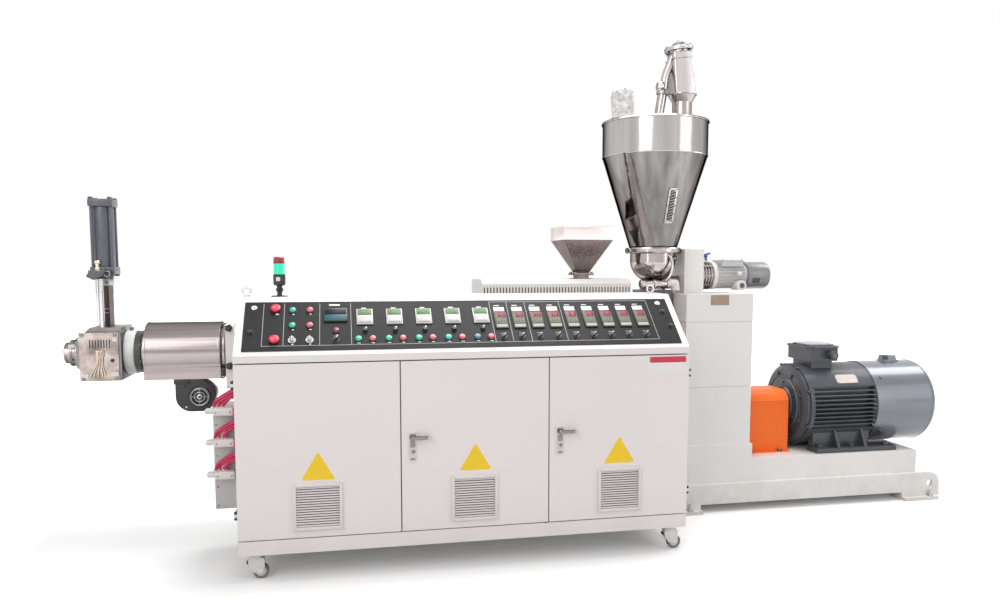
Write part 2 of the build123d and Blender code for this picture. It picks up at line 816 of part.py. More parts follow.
# Hopper shell: outlet flange, cone and short upright rim, all one thin sheet
revolved_about_hopper((
    (hopper_outlet_radius - hopper_wall, hopper_outlet_z),
    (clamp_band_radius, hopper_outlet_z),
    (clamp_band_radius, hopper_outlet_z + clamp_band_half),
    (hopper_outlet_radius, hopper_outlet_z + clamp_band_half),
    (hopper_rim_radius, hopper_shoulder_z),
    (hopper_rim_radius, hopper_rim_z),
    (hopper_rim_radius - hopper_wall, hopper_rim_z),
    (hopper_rim_radius - hopper_wall, hopper_shoulder_z),
    (hopper_outlet_radius - hopper_wall, hopper_outlet_z + clamp_band_half),
), "hopper_shell")

# Flat hopper lid with a rolled rim
revolved_about_hopper((
    (0, hopper_rim_z), (lid_radius, hopper_rim_z), (lid_radius, lid_top - lid_bevel),
    (lid_radius - lid_bevel, lid_top), (0, lid_top),
), "hopper_lid")

# Hopper base: a rounded bowl with a clamp band, a neck to the feed throat and the auger tube
bowl_inner = bowl_radius - hopper_wall
bowl_inner_floor = bowl_floor_z + auger_radius
with BuildPart() as hopper_base:
    with BuildSketch(Plane.XZ) as bowl_profile:
        with BuildLine():
            band_low = hopper_outlet_z - clamp_band_half
            Polyline(
                (hopper_x, bowl_inner_floor),
                (hopper_x, throat_top),
                (hopper_x + throat_flange_radius, throat_top),
                (hopper_x + throat_flange_radius, throat_top + throat_flange_thick),
                (hopper_x + bowl_outlet_radius, throat_top + throat_flange_thick),
                (hopper_x + bowl_outlet_radius, bowl_floor_z),
            )
            RadiusArc((hopper_x + bowl_outlet_radius, bowl_floor_z), (hopper_x + bowl_radius, bowl_knee_z),
                      -bowl_radius)
            Polyline(
                (hopper_x + bowl_radius, bowl_knee_z),
                (hopper_x + bowl_radius, band_low),
                (hopper_x + clamp_band_radius, band_low),
                (hopper_x + clamp_band_radius, hopper_outlet_z),
                (hopper_x + bowl_inner, hopper_outlet_z),
                (hopper_x + bowl_inner, bowl_knee_z),
                (hopper_x, bowl_inner_floor),
            )
        make_face()
    revolve(axis=Axis((hopper_x, 0, 0), (0, 0, 1)))
    rod_along_x(hopper_x, feeder_box_left, 0, auger_z, auger_radius)
    with BuildSketch(Plane.XZ) as bowl_hollow:
        with BuildLine():
            Polyline((hopper_x, bowl_inner_floor), (hopper_x + bowl_inner, bowl_knee_z),
                     (hopper_x + bowl_inner, hopper_outlet_z), (hopper_x, hopper_outlet_z), close=True)
        make_face()
    revolve(bowl_hollow.sketch, axis=Axis((hopper_x, 0, 0), (0, 0, 1)), mode=Mode.SUBTRACT)
save(hopper_base.part, "hopper_base")

# Dust filter: a soft sock with a domed top on a low collar
with BuildPart() as dust_filter:
    filter_bottom = lid_top + filter_collar_height
    with BuildSketch(Plane.XZ) as filter_profile:
        with BuildLine():
            dome_z = filter_bottom + filter_height - filter_radius
            Polyline((filter_x, filter_bottom + filter_height), (filter_x, filter_bottom),
                     (filter_x + filter_radius, filter_bottom), (filter_x + filter_radius, dome_z))
            RadiusArc((filter_x + filter_radius, dome_z), (filter_x, dome_z + filter_radius), -filter_radius)
        make_face()
    revolve(axis=Axis((filter_x, 0, 0), (0, 0, 1)))
    rod_along_z(filter_x, 0, lid_top, filter_bottom, filter_radius + filter_collar_rim)
save(dust_filter.part, "dust_filter")

# Vacuum loader: round neck and ring, tapered square tube, flanged round head and a leaning suction pipe
with BuildPart() as vacuum_loader:
    ring_low = lid_top + loader_neck_height
    tube_low = ring_low + loader_ring_thick
    tube_high = tube_low + loader_tube_height
    head_low = tube_high + loader_collar_thick
    cap_low = head_low + loader_head_thick
    rod_along_z(loader_x, 0, lid_top, ring_low, loader_neck_radius)
    rod_along_z(loader_x, 0, ring_low, tube_low, loader_ring_radius)
    with BuildSketch(Plane.XY.offset(tube_low)):
        with Locations((loader_x, 0)):
            Rectangle(2 * loader_neck_radius, 2 * loader_neck_radius)
    with BuildSketch(Plane.XY.offset(tube_high)):
        with Locations((loader_head_x, 0)):
            Rectangle(2 * loader_tube_top_half, 2 * loader_tube_top_half)
    loft()
    rod_along_z(loader_head_x, 0, tube_high, head_low, loader_neck_radius)
    rod_along_z(loader_head_x, 0, head_low, cap_low, loader_ring_radius)
    rod_along_z(loader_head_x, 0, cap_low, cap_low + loader_cap_height, loader_cap_radius)
    pipe_line = Vector(pipe_lean, 0, pipe_height)
    pipe_start = Vector(pipe_foot_x, 0, lid_top) - pipe_line.normalized() * pipe_radius
    with BuildSketch(Plane(origin=pipe_start, z_dir=pipe_line)) as pipe_section:
        Circle(pipe_radius)
    extrude(pipe_section.sketch, amount=pipe_line.length + pipe_radius)
    block(pipe_foot_x - 2 * pipe_radius, pipe_foot_x + 2 * pipe_radius, -pipe_radius, pipe_radius,
          lid_top - 2 * pipe_radius, lid_top, mode=Mode.SUBTRACT)
save(vacuum_loader.part, "vacuum_loader")

# Screw feeder drive: chain housing, adapter and gearmotor
with BuildPart() as feeder_housing:
    block(feeder_box_left, feeder_box_right, -feeder_box_half_depth, feeder_box_half_depth,
          tower_top, feeder_box_top)
    fillet(feeder_housing.edges().filter_by(Axis.X), 6)
save(feeder_housing.part, "feeder_housing")

# Feeder gearmotor: finned adapter, ring, motor body with terminal box and boss, fan cowl
with BuildPart() as feeder_drive:
    rod_along_x(feeder_box_right, feeder_ring_left, 0, feeder_motor_z, feeder_body_radius)
    for index in range(feeder_fin_count):
        rib_left = feeder_box_right + feeder_fin_thick + index * feeder_fin_pitch
        rod_along_x(rib_left, rib_left + feeder_fin_thick, 0, feeder_motor_z, feeder_motor_radius)
    rod_along_x(feeder_ring_left, feeder_ring_right, 0, feeder_motor_z, feeder_motor_radius)
    rod_along_x(feeder_ring_right, feeder_fan_left, 0, feeder_motor_z, feeder_body_radius)
    rod_along_x(feeder_fan_left, feeder_motor_right, 0, feeder_motor_z, feeder_motor_radius)
    motor_middle = (feeder_ring_right + feeder_fan_left) / 2
    block(motor_middle - feeder_body_radius, motor_middle + feeder_body_radius, -feeder_body_radius,
          feeder_body_radius, feeder_motor_z, feeder_motor_z + feeder_terminal_height)
    rod_along_y(feeder_fan_left - 2 * feeder_boss_radius, -feeder_boss_reach, 0,
                feeder_motor_z + feeder_boss_radius - feeder_motor_radius, feeder_boss_radius)
save(feeder_drive.part, "feeder_drive")

# Vent funnel: a square stainless funnel with a flanged neck
with BuildPart() as vent_funnel:
    for inset, mode in ((0.0, Mode.ADD), (funnel_wall, Mode.SUBTRACT)):
        with BuildSketch(Plane.XY.offset(funnel_lip_z)) as rim:
            with Locations((funnel_x, 0)):
                Rectangle(2 * (funnel_half_width - inset), 2 * (funnel_half_width - inset))
        with BuildSketch(Plane.XY.offset(funnel_neck_z)) as neck:
            with Locations((funnel_x, 0)):
                Rectangle(2 * (funnel_neck_half - inset), 2 * (funnel_neck_half - inset))
        extrude(rim.sketch, amount=funnel_rim_z - funnel_lip_z + (1 if inset else 0), mode=mode)
        loft([neck.sketch.face(), rim.sketch.face()], mode=mode)
        extrude(neck.sketch, amount=vented_cover_top - funnel_neck_z - (1 if inset else 0), mode=mode)
        if inset == 0:
            block(funnel_x - funnel_flange_half, funnel_x + funnel_flange_half, -funnel_flange_half,
                  funnel_flange_half, funnel_neck_z - funnel_flange_thick, funnel_neck_z)
save(vent_funnel.part, "vent_funnel")

# Clamp ring and adapter disc between barrel and screen changer
with BuildPart() as clamp_ring:
    rod_along_x(clamp_ring_left, clamp_ring_mid, 0, barrel_axis_z, clamp_ring_radius)
    rod_along_x(clamp_ring_mid, barrel_left, 0, barrel_axis_z, clamp_disc_radius)
    with Locations(((clamp_ring_left + clamp_ring_mid) / 2, 0, barrel_axis_z + clamp_ring_radius)):
        Box(clamp_lug_length, clamp_lug_width, 2 * clamp_lug_height)
save(clamp_ring.part, "clamp_ring")

# Screen changer: a block with an upright slot for its slide and a raised shoulder towards the nozzle
slot_half = slide_thick / 2 + seat_clearance
with BuildPart() as changer_block:
    block(changer_block_left, clamp_ring_left, -changer_half_depth, changer_half_depth,
          changer_bottom, changer_top)
    with BuildSketch(Plane.XZ.offset(-shoulder_half_depth)) as shoulder_profile:
        with BuildLine():
            Polyline(
                (changer_block_left, changer_bottom + shoulder_height),
                (shoulder_left, changer_bottom + shoulder_height + shoulder_length),
                (shoulder_left, changer_top - shoulder_length),
                (changer_block_left, shoulder_top - shoulder_slope),
                (changer_block_left + shoulder_slope, shoulder_top),
                (clamp_ring_left, shoulder_top),
                (clamp_ring_left, changer_bottom + shoulder_height),
                close=True,
            )
        make_face()
    extrude(shoulder_profile.sketch, amount=2 * shoulder_half_depth)
    block(changer_x - slot_half, changer_x + slot_half, -slide_half_width - seat_clearance,
          slide_half_width + seat_clearance, changer_bottom, shoulder_top, mode=Mode.SUBTRACT)
save(changer_block.part, "changer_block")

# Stainless cover plate on the front of the changer
with BuildPart() as changer_cover:
    block(changer_plate_left, changer_plate_right, -changer_half_depth - changer_plate_thick,
          -changer_half_depth, changer_bottom, changer_top)
    with BuildSketch(Plane.XZ.offset(changer_half_depth)) as louvres:
        with Locations((changer_x, changer_top - louvre_slot_drop)):
            with GridLocations(louvre_slot_pitch, louvre_slot_height, louvre_slot_count, 1):
                Rectangle(louvre_slot_width, louvre_slot_height)
    extrude(louvres.sketch, amount=changer_plate_thick, mode=Mode.SUBTRACT)
save(changer_cover.part, "changer_cover")

# Die nozzle with stepped collars and a through bore
nozzle_steps = (
    (nozzle_flange_length, nozzle_flange_radius),
    (nozzle_collar_length, nozzle_collar_radius),
    (nozzle_length, nozzle_radius),
)
with BuildPart() as die_nozzle:
    step_right = shoulder_left
    for step_length, step_radius in nozzle_steps:
        rod_along_x(step_right - step_length, step_right, 0, barrel_axis_z, step_radius)
        step_right -= step_length
    rod_along_x(step_right, shoulder_left, 0, barrel_axis_z, nozzle_bore, mode=Mode.SUBTRACT)
save(die_nozzle.part, "die_nozzle")

# Hydraulic cylinder: square caps, tube, tie rods and a port block
with BuildPart() as hydraulic_cylinder:
    for cap_low in (cylinder_bottom, cylinder_top - cylinder_cap):
        block(changer_x - cylinder_half, changer_x + cylinder_half, -cylinder_half, cylinder_half,
              cap_low, cap_low + cylinder_cap)
    rod_along_z(changer_x, 0, cylinder_bottom + cylinder_cap, cylinder_top - cylinder_cap,
                cylinder_tube_radius)
    rod_offset = cylinder_half - tie_rod_inset
    with Locations((changer_x, 0, (cylinder_bottom + cylinder_top + tie_rod_proud) / 2)):
        with GridLocations(2 * rod_offset, 2 * rod_offset, 2, 2):
            Cylinder(tie_rod_radius, cylinder_top - cylinder_bottom + tie_rod_proud)
    block(changer_x - cylinder_half - tie_rod_radius, front_pillar[0] + pillar_radius,
          front_pillar[1] - pillar_radius, -piston_rod_radius - tie_rod_radius,
          cylinder_bottom - port_block_drop, cylinder_bottom)
    rod_along_z(changer_x, 0, cylinder_bottom, cylinder_bottom + cylinder_cap,
                piston_rod_radius + pin_clearance, mode=Mode.SUBTRACT)
    rod_along_z(changer_x, 0, cylinder_bottom + cylinder_cap, cylinder_top - cylinder_cap,
                cylinder_bore, mode=Mode.SUBTRACT)
save(hydraulic_cylinder.part, "hydraulic_cylinder")

# Chrome pillars that carry the cylinder above the changer
with BuildPart() as cylinder_pillars:
    rod_along_z(*front_pillar, shoulder_top, cylinder_bottom - port_block_drop, pillar_radius)
    rod_along_z(*rear_pillar, shoulder_top, cylinder_bottom, pillar_radius)
save(cylinder_pillars.part, "cylinder_pillars")

# Screen slide on its piston rod
piston_top = cylinder_top - cylinder_cap - piston_thick
with BuildPart() as changer_slide:
    block(changer_x - slide_thick / 2, changer_x + slide_thick / 2, -slide_half_width, slide_half_width,
          changer_bottom, slide_top)
    rod_along_z(changer_x, 0, slide_top, piston_top - piston_thick, piston_rod_radius)
    rod_along_z(changer_x, 0, piston_top - piston_thick, piston_top, cylinder_bore - piston_clearance)
save(changer_slide.part, "changer_slide")

# Console plinth: a shallow pan turned over, which is also the cabinet's floor
with BuildPart() as console_plinth:
    block(console_left, console_right, console_front + plinth_setback, console_rear,
          console_bottom, plinth_top)
    block(console_left + plinth_skirt, console_right - plinth_skirt, console_front + plinth_skirt,
          console_rear - plinth_skirt, console_bottom, plinth_top - sheet, mode=Mode.SUBTRACT)
    for caster_x in caster_xs:
        for caster_y in caster_ys:
            rod_along_z(caster_x, caster_y, console_bottom, plinth_top - sheet, swivel_radius + swivel_plate)
    for caster_x in caster_xs:
        for caster_y in caster_ys:
            rod_along_z(caster_x, caster_y, console_bottom, console_bottom + kingpin_hole_depth,
                        kingpin_radius + pin_clearance, mode=Mode.SUBTRACT)
save(console_plinth.part, "console_plinth")

# Console back and side panels
side_front = console_front + door_thick + door_back_gap
with BuildPart() as console_back:
    block(console_left + sheet, console_right - sheet, console_rear - sheet, console_rear,
          plinth_top, head_bottom)
save(console_back.part, "console_back")

with BuildPart() as console_sides:
    for side_x in (console_left, console_right - sheet):
        block(side_x, side_x + sheet, side_front, console_rear, plinth_top, head_bottom)
save(console_sides.part, "console_sides")

# Inner front frame: a top rail and two posts behind the door seams
with BuildPart() as console_frame:
    block(console_left + sheet, console_right - sheet, side_front, side_front + post_depth,
          head_bottom - post_depth, head_bottom)
    for seam_x in door_seams:
        block(seam_x - post_width / 2, seam_x + post_width / 2, side_front, side_front + post_depth,
              plinth_top, head_bottom)
save(console_frame.part, "console_frame")

# Console head: sloped sheet housing with closed ends, open to the cabinet below
slope_angle = degrees(atan2(slope_rise, slope_run))
with BuildPart() as console_head:
    for inset, mode in ((0.0, Mode.ADD), (sheet, Mode.SUBTRACT)):
        with BuildSketch(Plane.YZ.offset(console_left + inset)) as head_section:
            with BuildLine():
                low = head_bottom - inset
                Polyline(
                    (console_front + inset, low),
                    (console_front + inset, slope_bottom_z - inset * 0.4),
                    (slope_top_y + inset * 0.4, console_top - inset),
                    (console_rear - inset, console_top - inset),
                    (console_rear - inset, low),
                    close=True,
                )
            make_face()
        extrude(head_section.sketch, amount=console_right - console_left - 2 * inset, mode=mode)
save(console_head.part, "console_head")

# The slope's own plane: X along the console, local Y up the slope, Z out of it
slope_plane = Plane(
    origin=(0, console_front, slope_bottom_z),
    x_dir=(1, 0, 0),
    z_dir=(0, -sin(radians(slope_angle)), cos(radians(slope_angle))),
)


def on_slope(x0, x1, low, high, base, thick):
    """A raised block on the slope, by X and distance up the slope, made in the open part."""
    with BuildSketch(slope_plane.offset(base)) as raised:
        with Locations(((x0 + x1) / 2, (low + high) / 2)):
            Rectangle(x1 - x0, high - low)
    extrude(raised.sketch, amount=thick)


def button_on_slope(x, height, radius, thick):
    """A round button or knob standing on the control panel, made in the open part."""
    with BuildSketch(slope_plane.offset(panel_thick)) as face:
        with Locations((x, height)):
            Circle(radius)
    extrude(face.sketch, amount=thick)


with BuildPart() as control_panel:
    on_slope(panel_left, panel_right, panel_low, panel_high, 0, panel_thick)
save(control_panel.part, "control_panel")

# Display, meters and temperature controllers, all proud of the panel
meter_xs = [meter_first_x + index * meter_pitch for index in range(meter_count)]
controller_xs = [controller_first_x + index * controller_pitch for index in range(controller_count)]
with BuildPart() as panel_instruments:
    on_slope(*display_span, *display_rows, panel_thick, display_thick)
    for meter_x in meter_xs:
        on_slope(meter_x - meter_half, meter_x + meter_half, *meter_rows, panel_thick, meter_thick)
    for controller_x in controller_xs:
        on_slope(controller_x - controller_half, controller_x + controller_half, *controller_rows,
                 panel_thick, controller_thick)
save(panel_instruments.part, "panel_instruments")

# Stop buttons, push buttons, selectors and knobs
with BuildPart() as panel_controls:
    for height in (row_low, row_stop):
        button_on_slope(stop_x, height, stop_radius, stop_height)
    for button_x in button_xs:
        for height in (row_low, row_middle, row_high):
            button_on_slope(button_x, height, button_radius, button_height)
    for height in alarm_rows:
        button_on_slope(alarm_x, height, button_radius, button_height)
    for meter_x in meter_xs:
        button_on_slope(meter_x, row_knob, meter_knob_radius, button_height)
        button_on_slope(meter_x - meter_button_offset, row_low, button_radius, button_height)
        button_on_slope(meter_x + meter_button_offset, row_low, button_radius, button_height)
    for controller_x in controller_xs:
        button_on_slope(controller_x, row_low, button_radius, button_height)
save(panel_controls.part, "panel_controls")


def door(left, right, vent_x, hinge, latched=False):
    """A pan-shaped cabinet door with a louvred vent, its half of the hinges and any latch plate."""
    with BuildPart() as leaf:
        block(left, right, console_front, console_front + door_thick, door_bottom, door_top)
        block(left + door_border, right - door_border, console_front + door_skin, console_front + door_thick,
              door_bottom + door_border, door_top - door_border, mode=Mode.SUBTRACT)
        louvre_pitch = (vent_top - vent_bottom) / louvre_count
        with BuildSketch(Plane.XZ.offset(-console_front - door_skin)) as louvre_slots:
            with Locations((vent_x, (vent_bottom + vent_top) / 2)):
                with GridLocations(1, louvre_pitch, 1, louvre_count):
                    Rectangle(2 * (vent_half_width - vent_margin), louvre_pitch * louvre_open_share)
        extrude(louvre_slots.sketch, amount=door_skin, mode=Mode.SUBTRACT)
        if hinge == "pivot":
            for low, high in ((door_bottom, door_bottom + pivot_depth), (door_top - pivot_depth, door_top)):
                rod_along_z(right - pivot_inset, console_front + pivot_inset, low, high,
                            pivot_radius + pin_clearance, mode=Mode.SUBTRACT)
        else:
            side = -1 if hinge == "left" else 1
            edge = left if hinge == "left" else right
            axis_x = edge + side * hinge_offset
            for hinge_z in hinge_heights:
                knuckle = sorted((edge, axis_x))
                low = hinge_z - knuckle_half
                high = hinge_z + knuckle_half
                block(knuckle[0], knuckle[1], hinge_y - knuckle_arm_half, hinge_y + knuckle_arm_half,
                      low, high)
                rod_along_z(axis_x, hinge_y, low, high, hinge_radius)
                rod_along_z(axis_x, hinge_y, low, high, pivot_radius + pin_clearance, mode=Mode.SUBTRACT)
        if latched:
            plate_left = left + latch_inset
            block(plate_left, plate_left + latch_plate_width, console_front - latch_plate_thick,
                  console_front, latch_bottom, latch_top)
            rod_along_y(plate_left + spindle_inset, console_front - latch_plate_thick,
                        console_front + door_skin, lever_z, spindle_radius + pin_clearance,
                        mode=Mode.SUBTRACT)
    return leaf


door_left = door(console_left, door_seams[0] - door_gap / 2, vent_centres[0], "left")
save(door_left.part, "door_left")

door_middle = door(door_seams[0] + door_gap / 2, door_seams[1] - door_gap / 2, vent_centres[1], "pivot",
                   latched=True)
save(door_middle.part, "door_middle")

door_right = door(door_seams[1] + door_gap / 2, console_right, vent_centres[2], "right", latched=True)
save(door_right.part, "door_right")

# Fixed halves of the hinges, and the middle door's pins with their bracket
with BuildPart() as door_hinges:
    for side, edge in ((-1, console_left), (1, console_right)):
        axis_x = edge + side * hinge_offset
        for hinge_z in hinge_heights:
            rod_along_z(axis_x, hinge_y, hinge_z - hinge_half, hinge_z + hinge_half, pivot_radius)
            fixed_spans = (
                (hinge_z - hinge_half, hinge_z - knuckle_half - seat_clearance),
                (hinge_z + knuckle_half + seat_clearance, hinge_z + hinge_half),
            )
            for low, high in fixed_spans:
                rod_along_z(axis_x, hinge_y, low, high, hinge_radius)
                arm = sorted((edge, axis_x))
                block(arm[0], arm[1], hinge_y, side_front + post_depth, low, high)
    pivot_x = door_seams[1] - door_gap / 2 - pivot_inset
    pivot_y = console_front + pivot_inset
    pin_reach = pivot_depth - end_clearance
    rod_along_z(pivot_x, pivot_y, plinth_top, door_bottom + pin_reach, pivot_radius)
    rod_along_z(pivot_x, pivot_y, plinth_top, door_bottom - seat_clearance, 2 * pivot_radius)
    rod_along_z(pivot_x, pivot_y, door_top - pin_reach, head_bottom, pivot_radius)
    block(pivot_x - hinge_radius, pivot_x + hinge_radius, console_front + sheet, side_front,
          door_top + sheet, head_bottom)
save(door_hinges.part, "door_hinges")

# Latch levers on their spindles
for latch_name, seam_x in zip(("middle", "right"), door_seams):
    spindle_x = seam_x + door_gap / 2 + latch_inset + spindle_inset
    lever_back = console_front - latch_plate_thick - seat_clearance
    lever_front = lever_back - lever_stand_off
    with BuildPart() as latch_lever:
        rod_along_y(spindle_x, lever_back, console_front + door_skin, lever_z, spindle_radius)
        rod_along_y(spindle_x, lever_front, lever_back, lever_z, lever_hub_radius)
        block(spindle_x, spindle_x + lever_reach, lever_front, lever_front + lever_thick,
              lever_z - lever_half, lever_z + lever_half)
    save(latch_lever.part, f"latch_lever_{latch_name}")

# Lifting eyes on the console top
with BuildPart() as lifting_eyes:
    for eye_x in eye_xs:
        rod_along_z(eye_x, top_fittings_y, console_top, console_top + eye_foot_height, eye_foot_radius)
        ring_z = console_top + eye_foot_height + eye_ring_radius
        with Locations(Location((eye_x, top_fittings_y, ring_z), (90, 0, 0))):
            Torus(eye_ring_radius, eye_wire_radius)
save(lifting_eyes.part, "lifting_eyes")

# Signal tower: foot, body, green and red lamps
with BuildPart() as signal_tower:
    for low, high, radius in tower_stages:
        rod_along_z(tower_x, top_fittings_y, console_top + low, console_top + high, radius)
save(signal_tower.part, "signal_tower")

# Wiring box on the side, with white plug hoods
with BuildPart() as wiring_box:
    block(wiring_left, console_left, wiring_front, wiring_rear, wiring_bottom, wiring_top)
save(wiring_box.part, "wiring_box")

with BuildPart() as plug_hoods:
    for hood_z in hood_heights:
        block(hood_left, hood_right, wiring_front - hood_depth, wiring_front,
              hood_z - hood_half_height, hood_z + hood_half_height)
save(plug_hoods.part, "plug_hoods")

# Heater cables: each rises out of its hood, bends over and enters the console's side
cable_y = wiring_front - hood_depth / 2
with BuildPart() as heater_cables:
    for hood_z in hood_heights:
        for index in range(cables_per_hood):
            start_x = cable_first_x + index * cable_pitch
            start_z = hood_z + hood_half_height
            end_z = start_z + cable_rise + cable_step * (cables_per_hood - index)
            route = [
                (start_x, cable_y, start_z),
                (start_x, cable_y, start_z + cable_rise),
                (console_left - cable_run_in, cable_y, end_z),
                (console_left, cable_y, end_z),
            ]
            radii = []
            for before, corner, after in zip(route, route[1:], route[2:]):
                run_in = Vector(*corner) - Vector(*before)
                run_out = Vector(*after) - Vector(*corner)
                half_turn = radians(run_in.get_angle(run_out)) / 2
                radii.append(0.45 * min(run_in.length, run_out.length) / tan(half_turn))
            with BuildLine() as cable_line:
                FilletPolyline(*route, radius=radii)
            with BuildSketch(Plane.XY.offset(start_z)) as cable_section:
                with Locations((start_x, cable_y)):
                    Circle(cable_radius)
            sweep(cable_section.sketch, path=cable_line.wire())
save(heater_cables.part, "heater_cables")

# Casters under the console: a swivel fork on a kingpin and a wheel on its axle
fork_top = console_bottom - seat_clearance
fork_half = wheel_width / 2 + fork_side_gap + fork_wall
crown_low = 2 * wheel_radius + crown_gap
caster_number = 0
for caster_y in caster_ys:
    for caster_x in caster_xs:
        caster_number += 1
        wheel_x = caster_x + caster_trail
        with BuildPart() as caster_fork:
            rod_along_z(caster_x, caster_y, fork_top, console_bottom + kingpin_length, kingpin_radius)
            rod_along_z(caster_x, caster_y, fork_top - swivel_plate, fork_top, swivel_radius)
            block(caster_x - fork_lead, wheel_x + fork_tail, caster_y - fork_half, caster_y + fork_half,
                  crown_low, fork_top - swivel_plate)
            for side in (-1, 1):
                cheek = sorted((caster_y + side * fork_half, caster_y + side * (fork_half - fork_wall)))
                with BuildSketch(Plane.XZ.offset(-cheek[1])) as cheek_outline:
                    with BuildLine():
                        cheek_low = wheel_radius - axle_radius
                        Polyline((caster_x - fork_lead, crown_low), (wheel_x - 2 * axle_radius, cheek_low),
                                 (wheel_x + 2 * axle_radius, cheek_low), (wheel_x + fork_tail, crown_low),
                                 close=True)
                    make_face()
                extrude(cheek_outline.sketch, amount=fork_wall)
            rod_along_y(wheel_x, caster_y - fork_half, caster_y + fork_half, wheel_radius, axle_radius)
        save(caster_fork.part, f"caster_fork_{caster_number}")
        with BuildPart() as caster_wheel:
            rod_along_y(wheel_x, caster_y - wheel_width / 2, caster_y + wheel_width / 2, wheel_radius, wheel_radius)
            rod_along_y(wheel_x, caster_y - wheel_width / 2, caster_y + wheel_width / 2, wheel_radius,
                        axle_radius + pin_clearance, mode=Mode.SUBTRACT)
        save(caster_wheel.part, f"caster_wheel_{caster_number}")
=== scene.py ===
"""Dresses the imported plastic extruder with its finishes, fittings, stage, light and camera.

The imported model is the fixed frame. Pieces are modelled in millimetres in the machine's own axes:
X along the barrel towards the main motor, Z up, the console at -Y. They are scaled to metres last.
"""

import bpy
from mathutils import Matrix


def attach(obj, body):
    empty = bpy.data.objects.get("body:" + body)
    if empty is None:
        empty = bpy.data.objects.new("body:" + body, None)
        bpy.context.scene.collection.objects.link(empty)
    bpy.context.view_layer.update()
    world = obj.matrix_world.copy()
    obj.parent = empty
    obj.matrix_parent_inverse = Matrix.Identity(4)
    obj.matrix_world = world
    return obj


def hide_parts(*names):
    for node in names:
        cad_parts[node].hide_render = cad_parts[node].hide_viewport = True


bl_info = {
    "name": "Plastic Extruder",
    "version": (1, 0, 0),
    "blender": (4, 5, 0),
    "location": "View3D > Sidebar > Extruder",
    "description": "Dresses the packed extruder with its finishes and fittings",
    "category": "Object",
}

from math import atan2, cos, hypot, pi, radians, sin

import bmesh
import bpy
from bpy.props import FloatProperty, FloatVectorProperty, IntProperty, PointerProperty
from mathutils import Matrix, Vector, noise

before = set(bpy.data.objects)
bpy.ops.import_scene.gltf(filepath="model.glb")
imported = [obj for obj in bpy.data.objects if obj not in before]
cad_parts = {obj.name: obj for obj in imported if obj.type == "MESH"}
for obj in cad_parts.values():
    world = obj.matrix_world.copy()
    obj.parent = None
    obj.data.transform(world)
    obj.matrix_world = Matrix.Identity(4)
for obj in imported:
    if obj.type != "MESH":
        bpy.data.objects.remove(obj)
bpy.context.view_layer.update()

MM = 0.001

# Console, in millimetres
CONSOLE_FRONT = -910.0
SLOPE_FOOT_Z = 1080.0
SLOPE_ANGLE = atan2(262.0, 290.0)
PANEL_THICK = 4.0
STOP_X = -1944.0
SWITCH_XS = (-1863.0, -1781.0)
DISPLAY_X = -1657.0
ROW_LOW, ROW_KNOB, ROW_MIDDLE, ROW_HIGH, ROW_STOP = 90.0, 146.0, 185.0, 288.0, 296.0
METER_XS = [-1517.0 + 145.5 * index for index in range(5)]
CONTROLLER_XS = [-835.0 + 94.0 * index for index in range(9)]
DOORS = ("left_door", "middle_door", "right_door")
VENT_XS = (-1755.0, -997.0, -244.0)
VENT_Z = 353.5
TRIANGLES = ((-1751.5, 481.0, 155.0, 134.0), (-992.5, 491.0, 155.0, 133.0), (-246.0, 490.0, 160.0, 137.0))
LATCH_PLATES = (("middle", -1321.0), ("right", -581.0))
TOP_FITTINGS_Y = -574.0
CONSOLE_TOP = 1342.0
HOOD_ZS = (771.0, 613.0, 449.0)
CABLE_XS = (-2261.0, -2239.0, -2217.0)
CABLE_Y = -591.0

# Machine, in millimetres
HOPPER_X = 288.0
HOPPER_TOP = 2371.0
SOCK_X = HOPPER_X - 212.0
SOCK_RADIUS = 65.0
LOADER_X = 463.0
BARREL_Z = 1020.0
RING_HOLE = 105.5
COVER_SPANS = ((-2683.0, -2286.0), (-2209.0, -841.0))
MOTOR_Z = 595.0
TERMINAL_BOX_X = 1416.0
CHANGER_X = -2892.0
CHANGER_FACE_Y = -153.0
NOZZLE_FOOT_X = -3026.0
CLAMP_X = -2793.0
FEEDER_Z = 1434.0
FUNNEL_X = -178.0
BLOWER_XS = (-2398.0, -1620.0, -1120.0)
CASTERS = ((-2056.0, -850.0), (58.0, -850.0), (-2056.0, -440.0), (58.0, -440.0))

# Stage and camera: distances in metres, angles in degrees, and the floor's two greys
FLOOR_HALF = 40.0
FLOOR_WHITENS = (3.2, 7.0)
FLOOR_LIT = (0.5, 0.5, 0.5, 1)
FLOOR_SEEN = (0.94, 0.94, 0.94, 1)
CAMERA_PLACE = (-1.642, -4.750, 1.5)
CAMERA_TILT = 5.059
CAMERA_TURN = 11.376

# Colour of dust, and the painted shade of the pressed dots
DUST = (0.33, 0.29, 0.25, 1)
DOT_SHADE = (0.30, 0.27, 0.25, 1)

# Places that turn a shape's own axes into the machine's
SLOPE = Matrix.Translation((0, CONSOLE_FRONT, SLOPE_FOOT_Z)) @ Matrix.Rotation(SLOPE_ANGLE, 4, "X")
FRONT = Matrix.Rotation(pi / 2, 4, "X")
RIGHTWARD = Matrix.Rotation(pi / 2, 4, "Y")
LEFTWARD = Matrix.Rotation(-pi / 2, 4, "Y")

finishes = {}


def at(x, y, z):
    """A place at a point of the machine, or of a local frame."""
    return Matrix.Translation((x, y, z))


def turn(angle, axis):
    """A turn in degrees about an axis."""
    return Matrix.Rotation(radians(angle), 4, axis)


# Shapes


def bevel(shape, edges, offset, segments=2):
    """Round or chamfer some edges of a shape."""
    bmesh.ops.bevel(shape, geom=edges, offset=offset, offset_type="OFFSET", segments=segments,
                    profile=0.5, affect="EDGES", material=-1)


def climb(edge):
    """How far an edge rises from one end to the other."""
    return abs(edge.verts[0].co.z - edge.verts[1].co.z)


